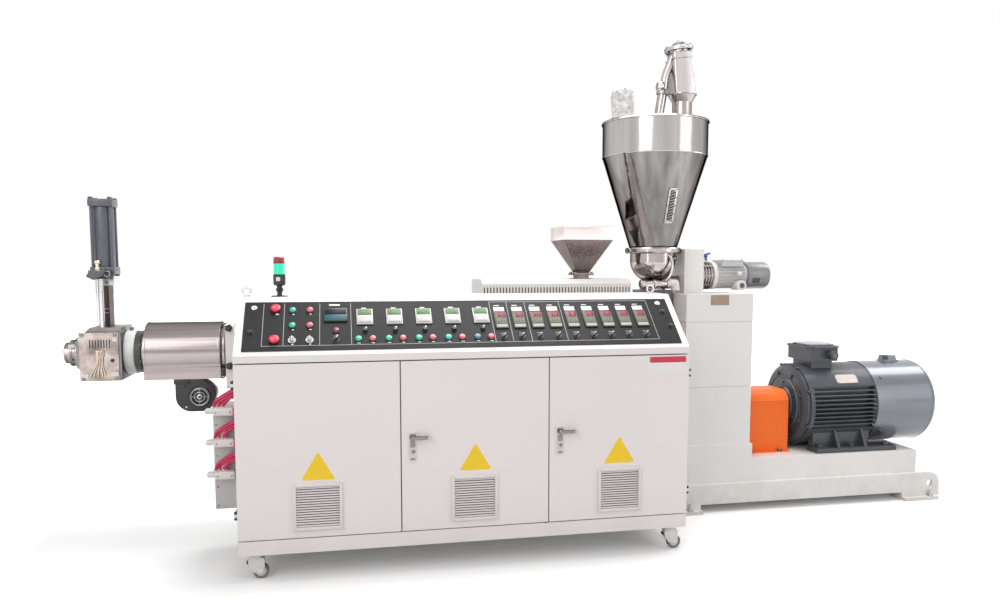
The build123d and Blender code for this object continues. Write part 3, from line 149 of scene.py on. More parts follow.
def spun(shape, sides, gap):
    """A line of edges spun once about the upright axis and closed where its ends meet."""
    bmesh.ops.spin(shape, geom=shape.verts[:] + shape.edges[:], cent=(0, 0, 0), axis=(0, 0, 1),
                   angle=2 * pi, steps=sides, use_merge=True)
    bmesh.ops.remove_doubles(shape, verts=shape.verts, dist=gap)
    bmesh.ops.recalc_face_normals(shape, faces=shape.faces)
    return shape


def as_mesh(shape, name="shape"):
    """A shape turned into mesh data."""
    mesh = bpy.data.meshes.new(name)
    shape.to_mesh(mesh)
    shape.free()
    return mesh


def add_object(name, data):
    """A new object in the scene."""
    thing = bpy.data.objects.new(name, data)
    bpy.context.scene.collection.objects.link(thing)
    return thing


def box(x0, x1, y0, y1, z0, z1, edge=1.5, segments=2):
    """A block between two corners with rounded edges."""
    shape = bmesh.new()
    bmesh.ops.create_cube(shape, size=1.0)
    bmesh.ops.scale(shape, vec=(x1 - x0, y1 - y0, z1 - z0), verts=shape.verts)
    bmesh.ops.translate(shape, vec=((x0 + x1) / 2, (y0 + y1) / 2, (z0 + z1) / 2), verts=shape.verts)
    if edge:
        bevel(shape, shape.edges[:], edge, segments)
    return shape


def rod(radius, length, rim=0.0, sides=32):
    """A round bar standing on its origin, with bevelled rims."""
    shape = bmesh.new()
    bmesh.ops.create_cone(shape, cap_ends=True, cap_tris=False, segments=sides, radius1=radius,
                          radius2=radius, depth=length)
    bmesh.ops.translate(shape, vec=(0, 0, length / 2), verts=shape.verts)
    if rim:
        bevel(shape, [edge for edge in shape.edges if climb(edge) < 1e-6], rim)
    return shape


def turned(profile, sides=40):
    """A profile of radii and heights spun about the upright axis."""
    shape = bmesh.new()
    points = [shape.verts.new((radius, 0, height)) for radius, height in profile]
    for pair in zip(points, points[1:]):
        shape.edges.new(pair)
    return spun(shape, sides, 0.01)


def ring(radius, wire, sides=40, wire_sides=10):
    """A round wire bent to a circle about the upright axis."""
    shape = bmesh.new()
    bmesh.ops.create_circle(shape, segments=wire_sides, radius=wire,
                            matrix=at(radius, 0, 0) @ turn(90, "X"))
    return spun(shape, sides, 0.001)


def plate(outline, thick, edge=0.0, segments=2):
    """A flat outline of x and y raised by its thickness."""
    shape = bmesh.new()
    face = shape.faces.new([shape.verts.new((x, y, 0)) for x, y in outline])
    raised = bmesh.ops.extrude_face_region(shape, geom=[face])["geom"]
    bmesh.ops.translate(shape, vec=(0, 0, thick),
                        verts=[item for item in raised if isinstance(item, bmesh.types.BMVert)])
    bmesh.ops.recalc_face_normals(shape, faces=shape.faces)
    if edge:
        bevel(shape, shape.edges[:], edge, segments)
    return shape


def arc(cx, cy, radius, start, end, count=8):
    """Points on an arc, by centre, radius and angles in degrees."""
    angles = [radians(start + (end - start) * step / count) for step in range(count + 1)]
    return [(cx + radius * cos(angle), cy + radius * sin(angle)) for angle in angles]


def slab(width, height, corner, count=5):
    """The outline of a rectangle with round corners, about its centre."""
    outline = []
    for cx, cy, start in ((1, 1, 0), (-1, 1, 90), (-1, -1, 180), (1, -1, 270)):
        outline += arc(cx * (width / 2 - corner), cy * (height / 2 - corner), corner, start,
                       start + 90, count)
    return outline


def pipe(points, radius, sides=4):
    """A bent bar along the smooth curve of its points."""
    curve = bpy.data.curves.new("bent bar", "CURVE")
    curve.dimensions = "3D"
    curve.bevel_depth = radius
    curve.bevel_resolution = sides
    curve.resolution_u = 8
    curve.use_fill_caps = True
    line = curve.splines.new("NURBS")
    line.points.add(len(points) - 1)
    for point, place in zip(line.points, points):
        point.co = (*place, 1)
    line.order_u = 3
    line.use_endpoint_u = True
    bar = bpy.data.objects.new("bent bar", curve)
    mesh = bpy.data.meshes.new_from_object(bar)
    shape = bmesh.new()
    shape.from_mesh(mesh)
    bmesh.ops.remove_doubles(shape, verts=shape.verts, dist=0.001)
    bpy.data.objects.remove(bar)
    bpy.data.curves.remove(curve)
    bpy.data.meshes.remove(mesh)
    return shape


def hexagon(across, thick):
    """A hexagon nut or bolt head with a chamfered top."""
    shape = rod(across / 2, thick, sides=6)
    top = [edge for edge in shape.edges if min(edge.verts[0].co.z, edge.verts[1].co.z) > thick - 0.01]
    bevel(shape, top, across * 0.06, 1)
    return shape


def merged(*shapes):
    """Several shapes as one."""
    whole = bmesh.new()
    for shape in shapes:
        mesh = as_mesh(shape)
        whole.from_mesh(mesh)
        bpy.data.meshes.remove(mesh)
    return whole


def corners(half_x, half_y):
    """The four places at the corners of a rectangle."""
    return [at(sx * half_x, sy * half_y, 0) for sx in (-1, 1) for sy in (-1, 1)]


def around(count, radius, z=0.0, first=0.0):
    """Places spaced evenly on a circle about the upright axis."""
    return [turn(first + 360.0 * index / count, "Z") @ at(radius, 0, z) for index in range(count)]


# The seven bars of a digit: left, right, low and high as shares of its size
BARS = {
    "a": (0.1, 0.9, 0.9, 1.0), "b": (0.85, 1.0, 0.53, 0.95), "c": (0.85, 1.0, 0.05, 0.47),
    "d": (0.1, 0.9, 0.0, 0.1), "e": (0.0, 0.15, 0.05, 0.47), "f": (0.0, 0.15, 0.53, 0.95),
    "g": (0.1, 0.9, 0.45, 0.55),
}
DIGITS = {"0": "abcdef", "1": "bc", "2": "abged", "3": "abgcd", "4": "fgbc", "5": "afgcd",
          "6": "afgedc", "7": "abc", "8": "abcdefg", "9": "abcdfg"}


def digits(number, height, thick=0.5):
    """The digits of a number display as small raised bars."""
    width = height * 0.5
    bars = []
    for place, digit in enumerate(number):
        for bar in DIGITS[digit]:
            left, right, low, high = BARS[bar]
            x = place * width * 1.35
            bars.append(box(x + left * width, x + right * width, low * height, high * height, 0,
                            thick, edge=0))
    return merged(*bars)


class Piece:
    """A piece being modelled in millimetres, and the finishes its faces take."""

    def __init__(self):
        self.mesh = bmesh.new()
        self.finishes = []

    def add(self, shape, finish, *places, smooth=True):
        """Join a shape to the piece in a finish, once at each place."""
        if finish not in self.finishes:
            self.finishes.append(finish)
        for face in shape.faces:
            face.material_index = self.finishes.index(finish)
            face.smooth = smooth
        mesh = as_mesh(shape)
        for place in places or (Matrix(),):
            first = len(self.mesh.verts)
            self.mesh.from_mesh(mesh)
            self.mesh.verts.ensure_lookup_table()
            bmesh.ops.transform(self.mesh, matrix=place, verts=self.mesh.verts[first:])
        bpy.data.meshes.remove(mesh)

    def done(self, name, body, slot, *replaced, sharp=32):
        """Write the piece, scaled to metres, and let it ride on its body."""
        for edge in self.mesh.edges:
            if edge.is_manifold:
                edge.smooth = edge.calc_face_angle(0.0) < radians(sharp)
        bmesh.ops.scale(self.mesh, vec=(MM, MM, MM), verts=self.mesh.verts)
        mesh = as_mesh(self.mesh, name)
        for finish in self.finishes:
            mesh.materials.append(finishes[finish])
        obj = add_object(name, mesh)
        if replaced:
            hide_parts(*replaced)
        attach(obj, body)
        return obj


# Finishes


def wire(tree, kind, inputs, **settings):
    """Add a shader node, with its settings, and its inputs as values or links."""
    node = tree.nodes.new("ShaderNode" + kind)
    for setting, value in settings.items():
        setattr(node, setting, value)
    for socket, value in inputs.items():
        if isinstance(value, bpy.types.NodeSocket):
            tree.links.new(value, node.inputs[socket])
        else:
            node.inputs[socket].default_value = value
    return node


def reckon(tree, operation, *values):
    """What a math node makes of its values or links."""
    return wire(tree, "Math", dict(enumerate(values)), operation=operation).outputs[0]


def rescale(tree, value, low, high, to_low=0.0, to_high=1.0):
    """A value carried over from one range to another."""
    return wire(tree, "MapRange", {"Value": value, "From Min": low, "From Max": high, "To Min": to_low,
                                   "To Max": to_high}).outputs["Result"]


def blend(tree, share, first, second):
    """Two colours mixed by a share."""
    return wire(tree, "Mix", {0: share, 6: first, 7: second}, data_type="RGBA").outputs[2]


def new_material(name):
    """A material with its node tree and its shader."""
    material = bpy.data.materials.new(name)
    material.use_nodes = True
    tree = material.node_tree
    return material, tree, tree.nodes["Principled BSDF"]


def effect(name, inputs, output, kind, build):
    """A shared effect as a node group, with named inputs and one output."""
    tree = bpy.data.node_groups.new(name, "ShaderNodeTree")
    for socket, socket_type, default in inputs:
        tree.interface.new_socket(socket, in_out="INPUT", socket_type=socket_type).default_value = default
    tree.interface.new_socket(output, in_out="OUTPUT", socket_type=kind)
    given = tree.nodes.new("NodeGroupInput").outputs
    place = tree.nodes.new("ShaderNodeTexCoord").outputs["Object"]
    tree.links.new(build(tree, given, place), tree.nodes.new("NodeGroupOutput").inputs[output])
    return tree


def build_uneven_tone(tree, given, place):
    """Slow changes of lightness over a coat of paint, or in streaks along a sheet; on the polished steels
    these streaks are partly uneven polish and partly painted reflection.
    """
    drawn = wire(tree, "VectorMath", {0: place, 1: given["Stretch"]}, operation="MULTIPLY").outputs[0]
    cloud = wire(tree, "TexNoise", {"Vector": drawn, "Scale": given["Size"], "Detail": 3.0})
    share = rescale(tree, cloud.outputs["Fac"], 0.3, 0.7, -1.0, 1.0)
    light = reckon(tree, "ADD", reckon(tree, "MULTIPLY", share, given["Change"]), 1.0)
    return wire(tree, "HueSaturation", {"Color": given["Colour"], "Value": light}).outputs["Color"]


def build_fine_grain(tree, given, place):
    """The fine texture of a coating, a casting or moulded plastic."""
    grain = wire(tree, "TexNoise", {"Vector": place, "Scale": given["Size"], "Detail": 4.0,
                                    "Roughness": given["Coarseness"]})
    return grain.outputs["Fac"]


def build_brushed_lines(tree, given, place):
    """Long fine lines along the direction in which a metal was brushed or turned."""
    stretched = wire(tree, "VectorMath", {0: place, 1: given["Stretch"]}, operation="MULTIPLY")
    lines = wire(tree, "TexNoise", {"Vector": stretched.outputs[0], "Scale": 1.0, "Detail": 5.0,
                                    "Roughness": 0.65})
    return lines.outputs["Fac"]


def build_floor_grime(tree, given, place):
    """Dust that gathers towards the floor."""
    axes = wire(tree, "SeparateXYZ", {"Vector": place})
    low = rescale(tree, axes.outputs["Z"], given["Top"], 0.0)
    specks = wire(tree, "TexNoise", {"Vector": place, "Scale": 9.0, "Detail": 6.0, "Roughness": 0.6})
    return reckon(tree, "MULTIPLY", low, rescale(tree, specks.outputs["Fac"], 0.42, 0.62, 0.25, 1.0))


def build_light_scuffs(tree, given, place):
    """Sparse small rubs and scratches from handling."""
    long_way = wire(tree, "VectorMath", {0: place, 1: (1.0, 1.0, 0.35)}, operation="MULTIPLY")
    rubs = wire(tree, "TexNoise", {"Vector": long_way.outputs[0], "Scale": given["Size"], "Detail": 8.0,
                                   "Roughness": 0.75, "Distortion": 1.5})
    return rescale(tree, rubs.outputs["Fac"], 0.6, 0.74)


def build_pressed_dots(tree, given, place):
    """Rows of small pressed dots above a height, the mask for their painted shade."""
    axes = wire(tree, "SeparateXYZ", {"Vector": place})
    flat = wire(tree, "CombineXYZ", {"X": axes.outputs["X"], "Y": axes.outputs["Z"]})
    cells = wire(tree, "TexVoronoi", {"Vector": flat.outputs[0], "Scale": given["Count"], "Randomness": 0.0},
                 voronoi_dimensions="2D")
    above = reckon(tree, "GREATER_THAN", axes.outputs["Z"], given["Above"])
    return reckon(tree, "MULTIPLY", rescale(tree, cells.outputs["Distance"], 0.34, 0.22), above)


def build_effects():
    """Every shared effect, by name."""
    number, colour, vector = "NodeSocketFloat", "NodeSocketColor", "NodeSocketVector"
    return {
        "tone": effect("Uneven tone", (("Colour", colour, (0.8, 0.8, 0.8, 1)), ("Size", number, 3.0),
                                       ("Change", number, 0.05), ("Stretch", vector, (1.0, 1.0, 1.0))),
                       "Tone", colour, build_uneven_tone),
        "grain": effect("Fine grain", (("Size", number, 300.0), ("Coarseness", number, 0.6)),
                        "Height", number, build_fine_grain),
        "brushed": effect("Brushed lines", (("Stretch", vector, (2.0, 2.0, 400.0)),), "Lines", number,
                          build_brushed_lines),
        "grime": effect("Floor grime", (("Top", number, 0.3),), "Grime", number, build_floor_grime),
        "scuffs": effect("Light scuffs", (("Size", number, 6.0),), "Scuffs", number, build_light_scuffs),
        "dots": effect("Pressed dots", (("Count", number, 95.0), ("Above", number, 1.3725)), "Dots", number,
                       build_pressed_dots),
    }


def place_effect(tree, group, inputs):
    """One shared effect in a material, with the material's own values."""
    return wire(tree, "Group", inputs, node_tree=group).outputs[0]


def mix_finish(name, effects, colour, roughness, metallic=0.0, tone=0.05, tone_size=3.0,
               tone_stretch=(1.0, 1.0, 1.0), grain=0.0, grain_size=300.0, coarseness=0.6, stretch=None,
               line_depth=0.00004, waves=0.0, spread=0.08, grime=0.0, scuffs=0.0, coat=0.0, glow=0.0,
               sheen=0.0, specular=0.5, rim_tone=1.0, dots=0.0):
    """One material from the shared effects: colour, roughness and relief that vary over the surface."""
    material, tree, shader = new_material(name)
    plain = {"Metallic": metallic, "Specular IOR Level": specular, "Sheen Weight": sheen,
             "Specular Tint": (rim_tone, rim_tone, rim_tone, 1), "Coat Weight": coat,
             "Coat Roughness": 0.15}
    for socket, value in plain.items():
        shader.inputs[socket].default_value = value
    surface = place_effect(tree, effects["tone"], {"Colour": (*colour, 1), "Size": tone_size, "Change": tone,
                                                   "Stretch": tone_stretch})
    # Dust, and the painted shade of the pressed dots.
    dust_and_dot_shade = (("grime", grime, DUST, {"Top": 0.34}), ("dots", dots, DOT_SHADE, {}))
    for mask, amount, shade, inputs in dust_and_dot_shade:
        if amount:
            share = reckon(tree, "MULTIPLY", place_effect(tree, effects[mask], inputs), amount)
            surface = blend(tree, share, surface, shade)
    tree.links.new(surface, shader.inputs["Base Color"])
    if stretch:
        height = place_effect(tree, effects["brushed"], {"Stretch": stretch})
        depth = line_depth
    else:
        height = place_effect(tree, effects["grain"], {"Size": grain_size, "Coarseness": coarseness})
        depth = grain
    rough = rescale(tree, height, 0.3, 0.7, max(roughness - spread, 0.02), roughness + spread)
    if scuffs:
        rubs = place_effect(tree, effects["scuffs"], {"Size": 5.0})
        rough = reckon(tree, "MULTIPLY_ADD", rubs, scuffs, rough)
    tree.links.new(rough, shader.inputs["Roughness"])
    if depth:
        relief = wire(tree, "Bump", {"Height": height, "Distance": depth, "Strength": 1.0})
        tree.links.new(relief.outputs["Normal"], shader.inputs["Normal"])
        if waves:
            swell = place_effect(tree, effects["brushed"], {"Stretch": (5.0, 5.0, 1.6)})
            slow = wire(tree, "Bump", {"Height": swell, "Distance": waves, "Strength": 1.0})
            tree.links.new(slow.outputs["Normal"], relief.inputs["Normal"])
    if glow:
        shader.inputs["Emission Color"].default_value = (*colour, 1)
        shader.inputs["Emission Strength"].default_value = glow
    finishes[name] = material


def mix_paints(mix, colours):
    """Paints of the console, the base, the motors and the small boxes."""
    mix("console_white", tuple(colours.console_paint), 0.38, tone=0.012, tone_size=1.2, grain=0.00003,
        grain_size=260.0, grime=0.15, scuffs=0.12, coat=0.1)
    mix("console_inside", (0.62, 0.60, 0.58), 0.5, tone=0.03, grain=0.00003)
    mix("vent_plastic", (0.74, 0.69, 0.68), 0.45, tone=0.02, grain=0.00005, grain_size=500.0)
    # A dark sheet behind vent slats and cover slots: painted shade.
    mix("vent_mesh", (0.075, 0.065, 0.062), 0.7, tone=0.1, tone_size=60.0, grain=0.0004, grain_size=700.0)
    mix("machine_white", tuple(colours.machine_paint), 0.4, tone=0.02, tone_size=2.0, grain=0.00006,
        grain_size=180.0, grime=0.25, scuffs=0.15, coat=0.08)
    # The pressed dots are darkened: painted shade at the dots.
    mix("cover_cream", (0.80, 0.775, 0.745), 0.45, tone=0.015, grain=0.00003, grain_size=300.0, dots=0.42)
    mix("guard_orange", tuple(colours.guard_paint), 0.4, tone=0.04, grain=0.00005, grain_size=220.0,
        grime=0.15, scuffs=0.15, specular=0.3)
    mix("motor_grey", tuple(colours.motor_paint), 0.4, tone=0.12, tone_size=5.0, grain=0.00025,
        grain_size=120.0, grime=0.1, scuffs=0.2, coat=0.15, specular=0.35)
    mix("motor_cover_grey", tuple(colours.fan_cover_paint), 0.36, metallic=0.6, tone=0.06, grain=0.00004,
        grain_size=500.0, scuffs=0.1, coat=1.0)
    mix("lid_grey", (0.26, 0.265, 0.28), 0.3, tone=0.06, tone_size=9.0, grain=0.00008, grain_size=200.0,
        coat=0.6)
    mix("cylinder_grey", (0.10, 0.104, 0.122), 0.36, tone=0.08, tone_size=8.0, grain=0.0001,
        grain_size=260.0, coat=0.2, scuffs=0.2)
    mix("light_grey", (0.56, 0.55, 0.55), 0.36, tone=0.06, tone_size=9.0, grain=0.00012,
        grain_size=220.0, coat=0.15)
    mix("cowl_grey", (0.20, 0.20, 0.21), 0.3, metallic=0.2, tone=0.06, tone_size=14.0, grain=0.00005,
        grain_size=400.0, coat=0.2)
    mix("box_grey", (0.52, 0.51, 0.50), 0.4, tone=0.03, tone_size=4.0, grain=0.00005, grain_size=300.0)
    mix("ring_grey", (0.68, 0.69, 0.68), 0.42, tone=0.06, tone_size=8.0, grain=0.00008, grain_size=300.0,
        coat=0.15)
    mix("blower_black", (0.016, 0.015, 0.018), 0.4, tone=0.15, tone_size=12.0, grain=0.00012,
        grain_size=320.0, scuffs=0.2)
    mix("caster_white", (0.72, 0.71, 0.69), 0.35, tone=0.03, tone_size=20.0, grain=0.00004, coat=0.2)
    mix("valve_blue", (0.02, 0.10, 0.30), 0.35, tone=0.05, tone_size=50.0, grain=0.00004, coat=0.2)


def mix_metals(mix):
    """Steels, castings, brass and plated plates."""
    # The strong tone streaks and bands of the polished steels below are partly uneven polish and partly
    # painted reflection.
    upright = (16.0, 16.0, 0.8)
    mix("bare_steel", (0.30, 0.275, 0.265), 0.3, metallic=1.0, tone=0.12, tone_size=7.0,
        stretch=(500.0, 14.0, 14.0))
    mix("changer_steel", (0.20, 0.185, 0.18), 0.34, metallic=1.0, tone=0.15, tone_size=9.0,
        stretch=(30.0, 30.0, 300.0))
    mix("nozzle_steel", (0.27, 0.24, 0.235), 0.18, metallic=1.0, tone=0.5, tone_size=1.0,
        tone_stretch=(60.0, 7.0, 7.0), stretch=(300.0, 8.0, 8.0), rim_tone=0.1)
    mix("barrel_cover_steel", (0.31, 0.268, 0.268), 0.2, metallic=1.0, tone=0.22, tone_size=1.0,
        tone_stretch=(0.5, 16.0, 16.0), stretch=(3.0, 420.0, 420.0), line_depth=0.00003, waves=0.0004,
        scuffs=0.08, rim_tone=0.3)
    mix("stainless_upright", (0.46, 0.425, 0.41), 0.2, metallic=1.0, tone=0.12, tone_size=1.0,
        tone_stretch=upright, stretch=(60.0, 60.0, 2.0), line_depth=0.0002, spread=0.05, rim_tone=0.15)
    mix("funnel_steel", (0.27, 0.225, 0.215), 0.28, metallic=1.0, tone=0.16, tone_size=1.0,
        tone_stretch=upright, stretch=(90.0, 90.0, 3.0), line_depth=0.00008, rim_tone=0.4)
    # The funnel's lip is made far brighter than its cone, though both are one steel: painted reflection.
    mix("lip_steel", (0.78, 0.66, 0.645), 0.3, metallic=1.0, tone=0.04, tone_size=6.0,
        stretch=(40.0, 40.0, 300.0), line_depth=0.00004)
    mix("loader_steel", (0.58, 0.55, 0.54), 0.22, metallic=1.0, tone=0.12, tone_size=1.0,
        tone_stretch=upright, stretch=(60.0, 60.0, 2.0), line_depth=0.0001, waves=0.0006, spread=0.05,
        rim_tone=0.15)
    mix("plate_steel", (0.30, 0.25, 0.232), 0.26, metallic=1.0, tone=0.5, tone_size=12.0,
        stretch=(200.0, 200.0, 6.0), line_depth=0.00002, scuffs=0.1)
    mix("slide_steel", (0.075, 0.045, 0.045), 0.4, metallic=0.3, specular=0.25, tone=0.3, tone_size=14.0,
        stretch=(160.0, 160.0, 5.0))
    # The hopper's cone takes a darker steel and its upright wall and lid a lighter one: painted reflection.
    mix("cone_steel", (0.205, 0.195, 0.19), 0.1, metallic=1.0, tone=0.30, tone_size=1.0,
        tone_stretch=upright, stretch=(70.0, 70.0, 3.0), line_depth=0.00003, waves=0.003, spread=0.03,
        rim_tone=0.05)
    mix("rim_steel", (0.48, 0.46, 0.45), 0.14, metallic=1.0, tone=0.14, tone_size=1.0,
        tone_stretch=upright, stretch=(70.0, 70.0, 3.0), line_depth=0.00003, waves=0.0015, spread=0.03,
        rim_tone=0.05)
    mix("bowl_steel", (0.46, 0.41, 0.395), 0.1, metallic=1.0, tone=0.16, tone_size=9.0,
        stretch=(60.0, 60.0, 60.0), line_depth=0.00002, waves=0.001, spread=0.03, rim_tone=0.1)
    mix("weld_steel", (0.30, 0.275, 0.265), 0.4, metallic=1.0, tone=0.15, tone_size=60.0, grain=0.0004,
        grain_size=260.0)
    mix("chrome", (0.60, 0.595, 0.60), 0.1, metallic=1.0, tone=0.03, stretch=(3.0, 3.0, 300.0),
        line_depth=0.00001, spread=0.02, rim_tone=0.0)
    mix("latch_steel", (0.22, 0.205, 0.20), 0.3, metallic=0.9, tone=0.1, tone_size=40.0,
        stretch=(30.0, 400.0, 400.0), rim_tone=0.3)
    mix("latch_plate", (0.47, 0.45, 0.44), 0.35, metallic=0.6, tone=0.05, tone_size=40.0,
        stretch=(400.0, 400.0, 20.0), rim_tone=0.3)
    mix("zinc", (0.48, 0.475, 0.47), 0.35, metallic=1.0, tone=0.12, tone_size=40.0, grain=0.0001,
        grain_size=200.0)
    mix("bolt_steel", (0.20, 0.19, 0.19), 0.35, metallic=1.0, tone=0.1, tone_size=50.0, grain=0.0001,
        grain_size=400.0)
    mix("pale_brass", (0.78, 0.66, 0.50), 0.3, metallic=0.7, tone=0.08, tone_size=50.0, grain=0.00005)
    mix("cast_grey", (0.16, 0.15, 0.15), 0.5, metallic=0.3, tone=0.10, tone_size=9.0, grain=0.0005,
        grain_size=140.0, coarseness=0.7)
    mix("plate_brown", (0.30, 0.215, 0.16), 0.35, metallic=0.4, tone=0.08, tone_size=30.0,
        stretch=(20.0, 20.0, 600.0))
    mix("plate_silver", (0.55, 0.50, 0.46), 0.32, metallic=0.7, tone=0.05, tone_size=30.0,
        stretch=(20.0, 600.0, 600.0))


def mix_plastics(mix, colours):
    """Plastic, glass, print, film and rubber."""
    mix("panel_black", (0.022, 0.021, 0.023), 0.4, tone=0.15, tone_size=2.0, grain=0.00002,
        grain_size=700.0, specular=0.12)
    mix("print_white", (0.80, 0.79, 0.78), 0.5, tone=0.02)
    mix("print_grey", (0.42, 0.41, 0.40), 0.5, tone=0.04)
    mix("plastic_black", (0.014, 0.014, 0.015), 0.35, tone=0.1, grain=0.00004, grain_size=700.0)
    mix("plastic_dark", (0.050, 0.050, 0.047), 0.42, tone=0.06, grain=0.00004, grain_size=700.0)
    mix("meter_white", (0.66, 0.645, 0.62), 0.4, tone=0.03, grain=0.00002, grain_size=600.0)
    mix("meter_pale", (0.60, 0.555, 0.55), 0.4, tone=0.05, tone_size=30.0, grain=0.00002, grain_size=600.0)
    mix("meter_green", (0.13, 0.235, 0.105), 0.3, tone=0.15, tone_size=40.0, specular=0.2)
    mix("key_olive", (0.13, 0.125, 0.095), 0.5, tone=0.10, tone_size=60.0, grain=0.00004, specular=0.25)
    mix("key_dark", (0.20, 0.195, 0.165), 0.5, tone=0.08, tone_size=60.0, grain=0.00004, specular=0.25)
    mix("key_grey", (0.40, 0.39, 0.36), 0.5, tone=0.05, tone_size=60.0, grain=0.00004, specular=0.3)
    mix("digit_red", (0.62, 0.05, 0.08), 0.4, tone=0.02, glow=0.15)
    mix("window_red", (0.20, 0.04, 0.05), 0.4, tone=0.05, tone_size=40.0, specular=0.2)
    mix("digit_dark", (0.03, 0.05, 0.03), 0.4, tone=0.02)
    mix("screen_dark", (0.016, 0.026, 0.032), 0.3, tone=0.15, tone_size=20.0, specular=0.1)
    mix("screen_teal", (0.045, 0.11, 0.135), 0.3, tone=0.15, tone_size=20.0, specular=0.1)
    for name, colour, glow in (("green", (0.015, 0.40, 0.25), 0.15), ("red", (0.64, 0.016, 0.055), 0.08),
                               ("rose", (0.60, 0.10, 0.135), 0.06), ("blue", (0.05, 0.17, 0.24), 0.05),
                               ("dim", (0.14, 0.012, 0.02), 0.0)):
        mix("button_" + name, colour, 0.25, tone=0.05, tone_size=60.0, coat=0.2, glow=glow)
    mix("lens_green", (0.015, 0.60, 0.36), 0.2, tone=0.04, tone_size=30.0, coat=0.2, glow=0.55)
    mix("lens_red", (0.42, 0.008, 0.02), 0.2, tone=0.05, tone_size=30.0, coat=0.2)
    mix("sign_yellow", (0.88, 0.58, 0.012), 0.5, tone=0.02, tone_size=12.0, grain=0.00002, coat=0.1)
    mix("label_red", (0.60, 0.02, 0.065), 0.35, tone=0.02, tone_size=12.0, coat=0.1)
    mix("hood_white", (0.74, 0.70, 0.685), 0.4, tone=0.03, grain=0.00004, grain_size=400.0)
    mix("cable_crimson", tuple(colours.cable_sheath), 0.4, tone=0.12, tone_size=40.0, grain=0.00006,
        grain_size=500.0, sheen=0.2)
    mix("tyre_grey", (0.20, 0.175, 0.16), 0.6, tone=0.1, tone_size=40.0, grain=0.0002, grain_size=300.0)
    mix("tread_black", (0.03, 0.028, 0.027), 0.6, tone=0.1, tone_size=40.0, grain=0.0002, grain_size=300.0)
    mix("sock_film", (0.70, 0.68, 0.66), 0.32, tone=0.3, tone_size=42.0, grain=0.0004, grain_size=160.0,
        sheen=0.2)
    mix("sight_glass", (0.045, 0.043, 0.04), 0.08, tone=0.2, tone_size=12.0)


def mix_all_finishes():
    """Every finish of the machine."""
    colours = bpy.context.scene.extruder_colours
    effects = build_effects()

    def mix(name, *values, **options):
        mix_finish(name, effects, *values, **options)

    mix_paints(mix, colours)
    mix_metals(mix)
    mix_plastics(mix, colours)


NODE_FINISHES = {
    "console_white": ("console_head", "console_plinth", "console_sides", "console_back", "door_left",
                      "door_middle", "door_right"),
    "console_inside": ("console_frame",),
    "machine_white": ("base_frame", "base_feet", "base_deck", "gearbox_pedestal", "gearbox_housing",
                      "barrel_end_plate", "barrel_support", "feeder_housing"),
    "cover_cream": ("barrel_rear_cover",),
    "guard_orange": ("coupling_guard",),
    "motor_grey": ("motor_frame", "motor_end_shield", "motor_terminal_box"),
    "motor_cover_grey": ("motor_fan_cover",),
    "bare_steel": ("barrel", "drive_coupling", "die_nozzle"),
    "changer_steel": ("changer_block",),
    "barrel_cover_steel": ("barrel_covers",),
    "plate_steel": ("changer_cover",),
    "slide_steel": ("changer_slide",),
    "funnel_steel": ("vent_funnel",),
    "stainless_upright": ("vacuum_loader",),
    "cone_steel": ("hopper_shell",),
    "rim_steel": ("hopper_lid",),
    "bowl_steel": ("hopper_base",),
    "chrome": ("lifting_eyes", "latch_lever_middle", "latch_lever_right", "cylinder_pillars"),
    "cast_grey": ("feed_throat",),
    "ring_grey": ("clamp_ring",),
    "cylinder_grey": ("hydraulic_cylinder",),
    "light_grey": ("feeder_drive",),
    "box_grey": ("wiring_box",),
    "blower_black": ("barrel_blowers",),
    "panel_black": ("control_panel",),
    "plastic_dark": ("panel_instruments", "panel_controls"),
    "plastic_black": ("door_hinges", "signal_tower"),
    "hood_white": ("plug_hoods",),
    "cable_crimson": ("heater_cables",),
    "sock_film": ("dust_filter",),
    "caster_white": ("caster_fork_1", "caster_fork_2", "caster_fork_3", "caster_fork_4"),
    "tyre_grey": ("caster_wheel_1", "caster_wheel_2", "caster_wheel_3", "caster_wheel_4"),
}


def finish_nodes():
    """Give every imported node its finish."""
    for finish, names in NODE_FINISHES.items():
        for name in names:
            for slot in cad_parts[name].material_slots:
                slot.material = finishes[finish]


# Console pieces


def build_panel_print():
    """Thin grey group lines and bare white label strips on the black panel."""
    piece = Piece()

    def mark(left, right, low, high, finish, thick=0.5, edge=0):
        """One line or strip on the panel."""
        piece.add(box(left, right, low, high, PANEL_THICK - 0.2, PANEL_THICK + thick, edge=edge), finish,
                  SLOPE)

    for x in (-2001, -1903, -1734, -1584, -880, -790, -694, -508, -22):
        mark(x - 1.2, x + 1.2, 56, 338, "print_grey")
    mark(-2002, -21, 54.8, 57.2, "print_grey")
    mark(-881, -21, 335.6, 338, "print_grey")
    mark(-1690, -1636, 320, 330, "print_white", 1.0, 0.4)
    tags = [(x - 3, 301, 12, 3) for x in METER_XS] + [(x - 8, 310, 14, 2.5) for x in CONTROLLER_XS]
    tags += [(x + 3, row - 25, 5, 3) for x in SWITCH_XS for row in (ROW_LOW, ROW_MIDDLE, ROW_HIGH)]
    tags += [(STOP_X + 8, ROW_STOP - 32, 8, 3)]
    tags += [(x + side, ROW_LOW - 24, 7, 2.5) for x in METER_XS for side in (-34, 34)]
    for x, row, half, half_height in tags:
        mark(x - half, x + half, row - half_height, row + half_height, "print_white")
    piece.done("panel_print", "machine", "panel_black")


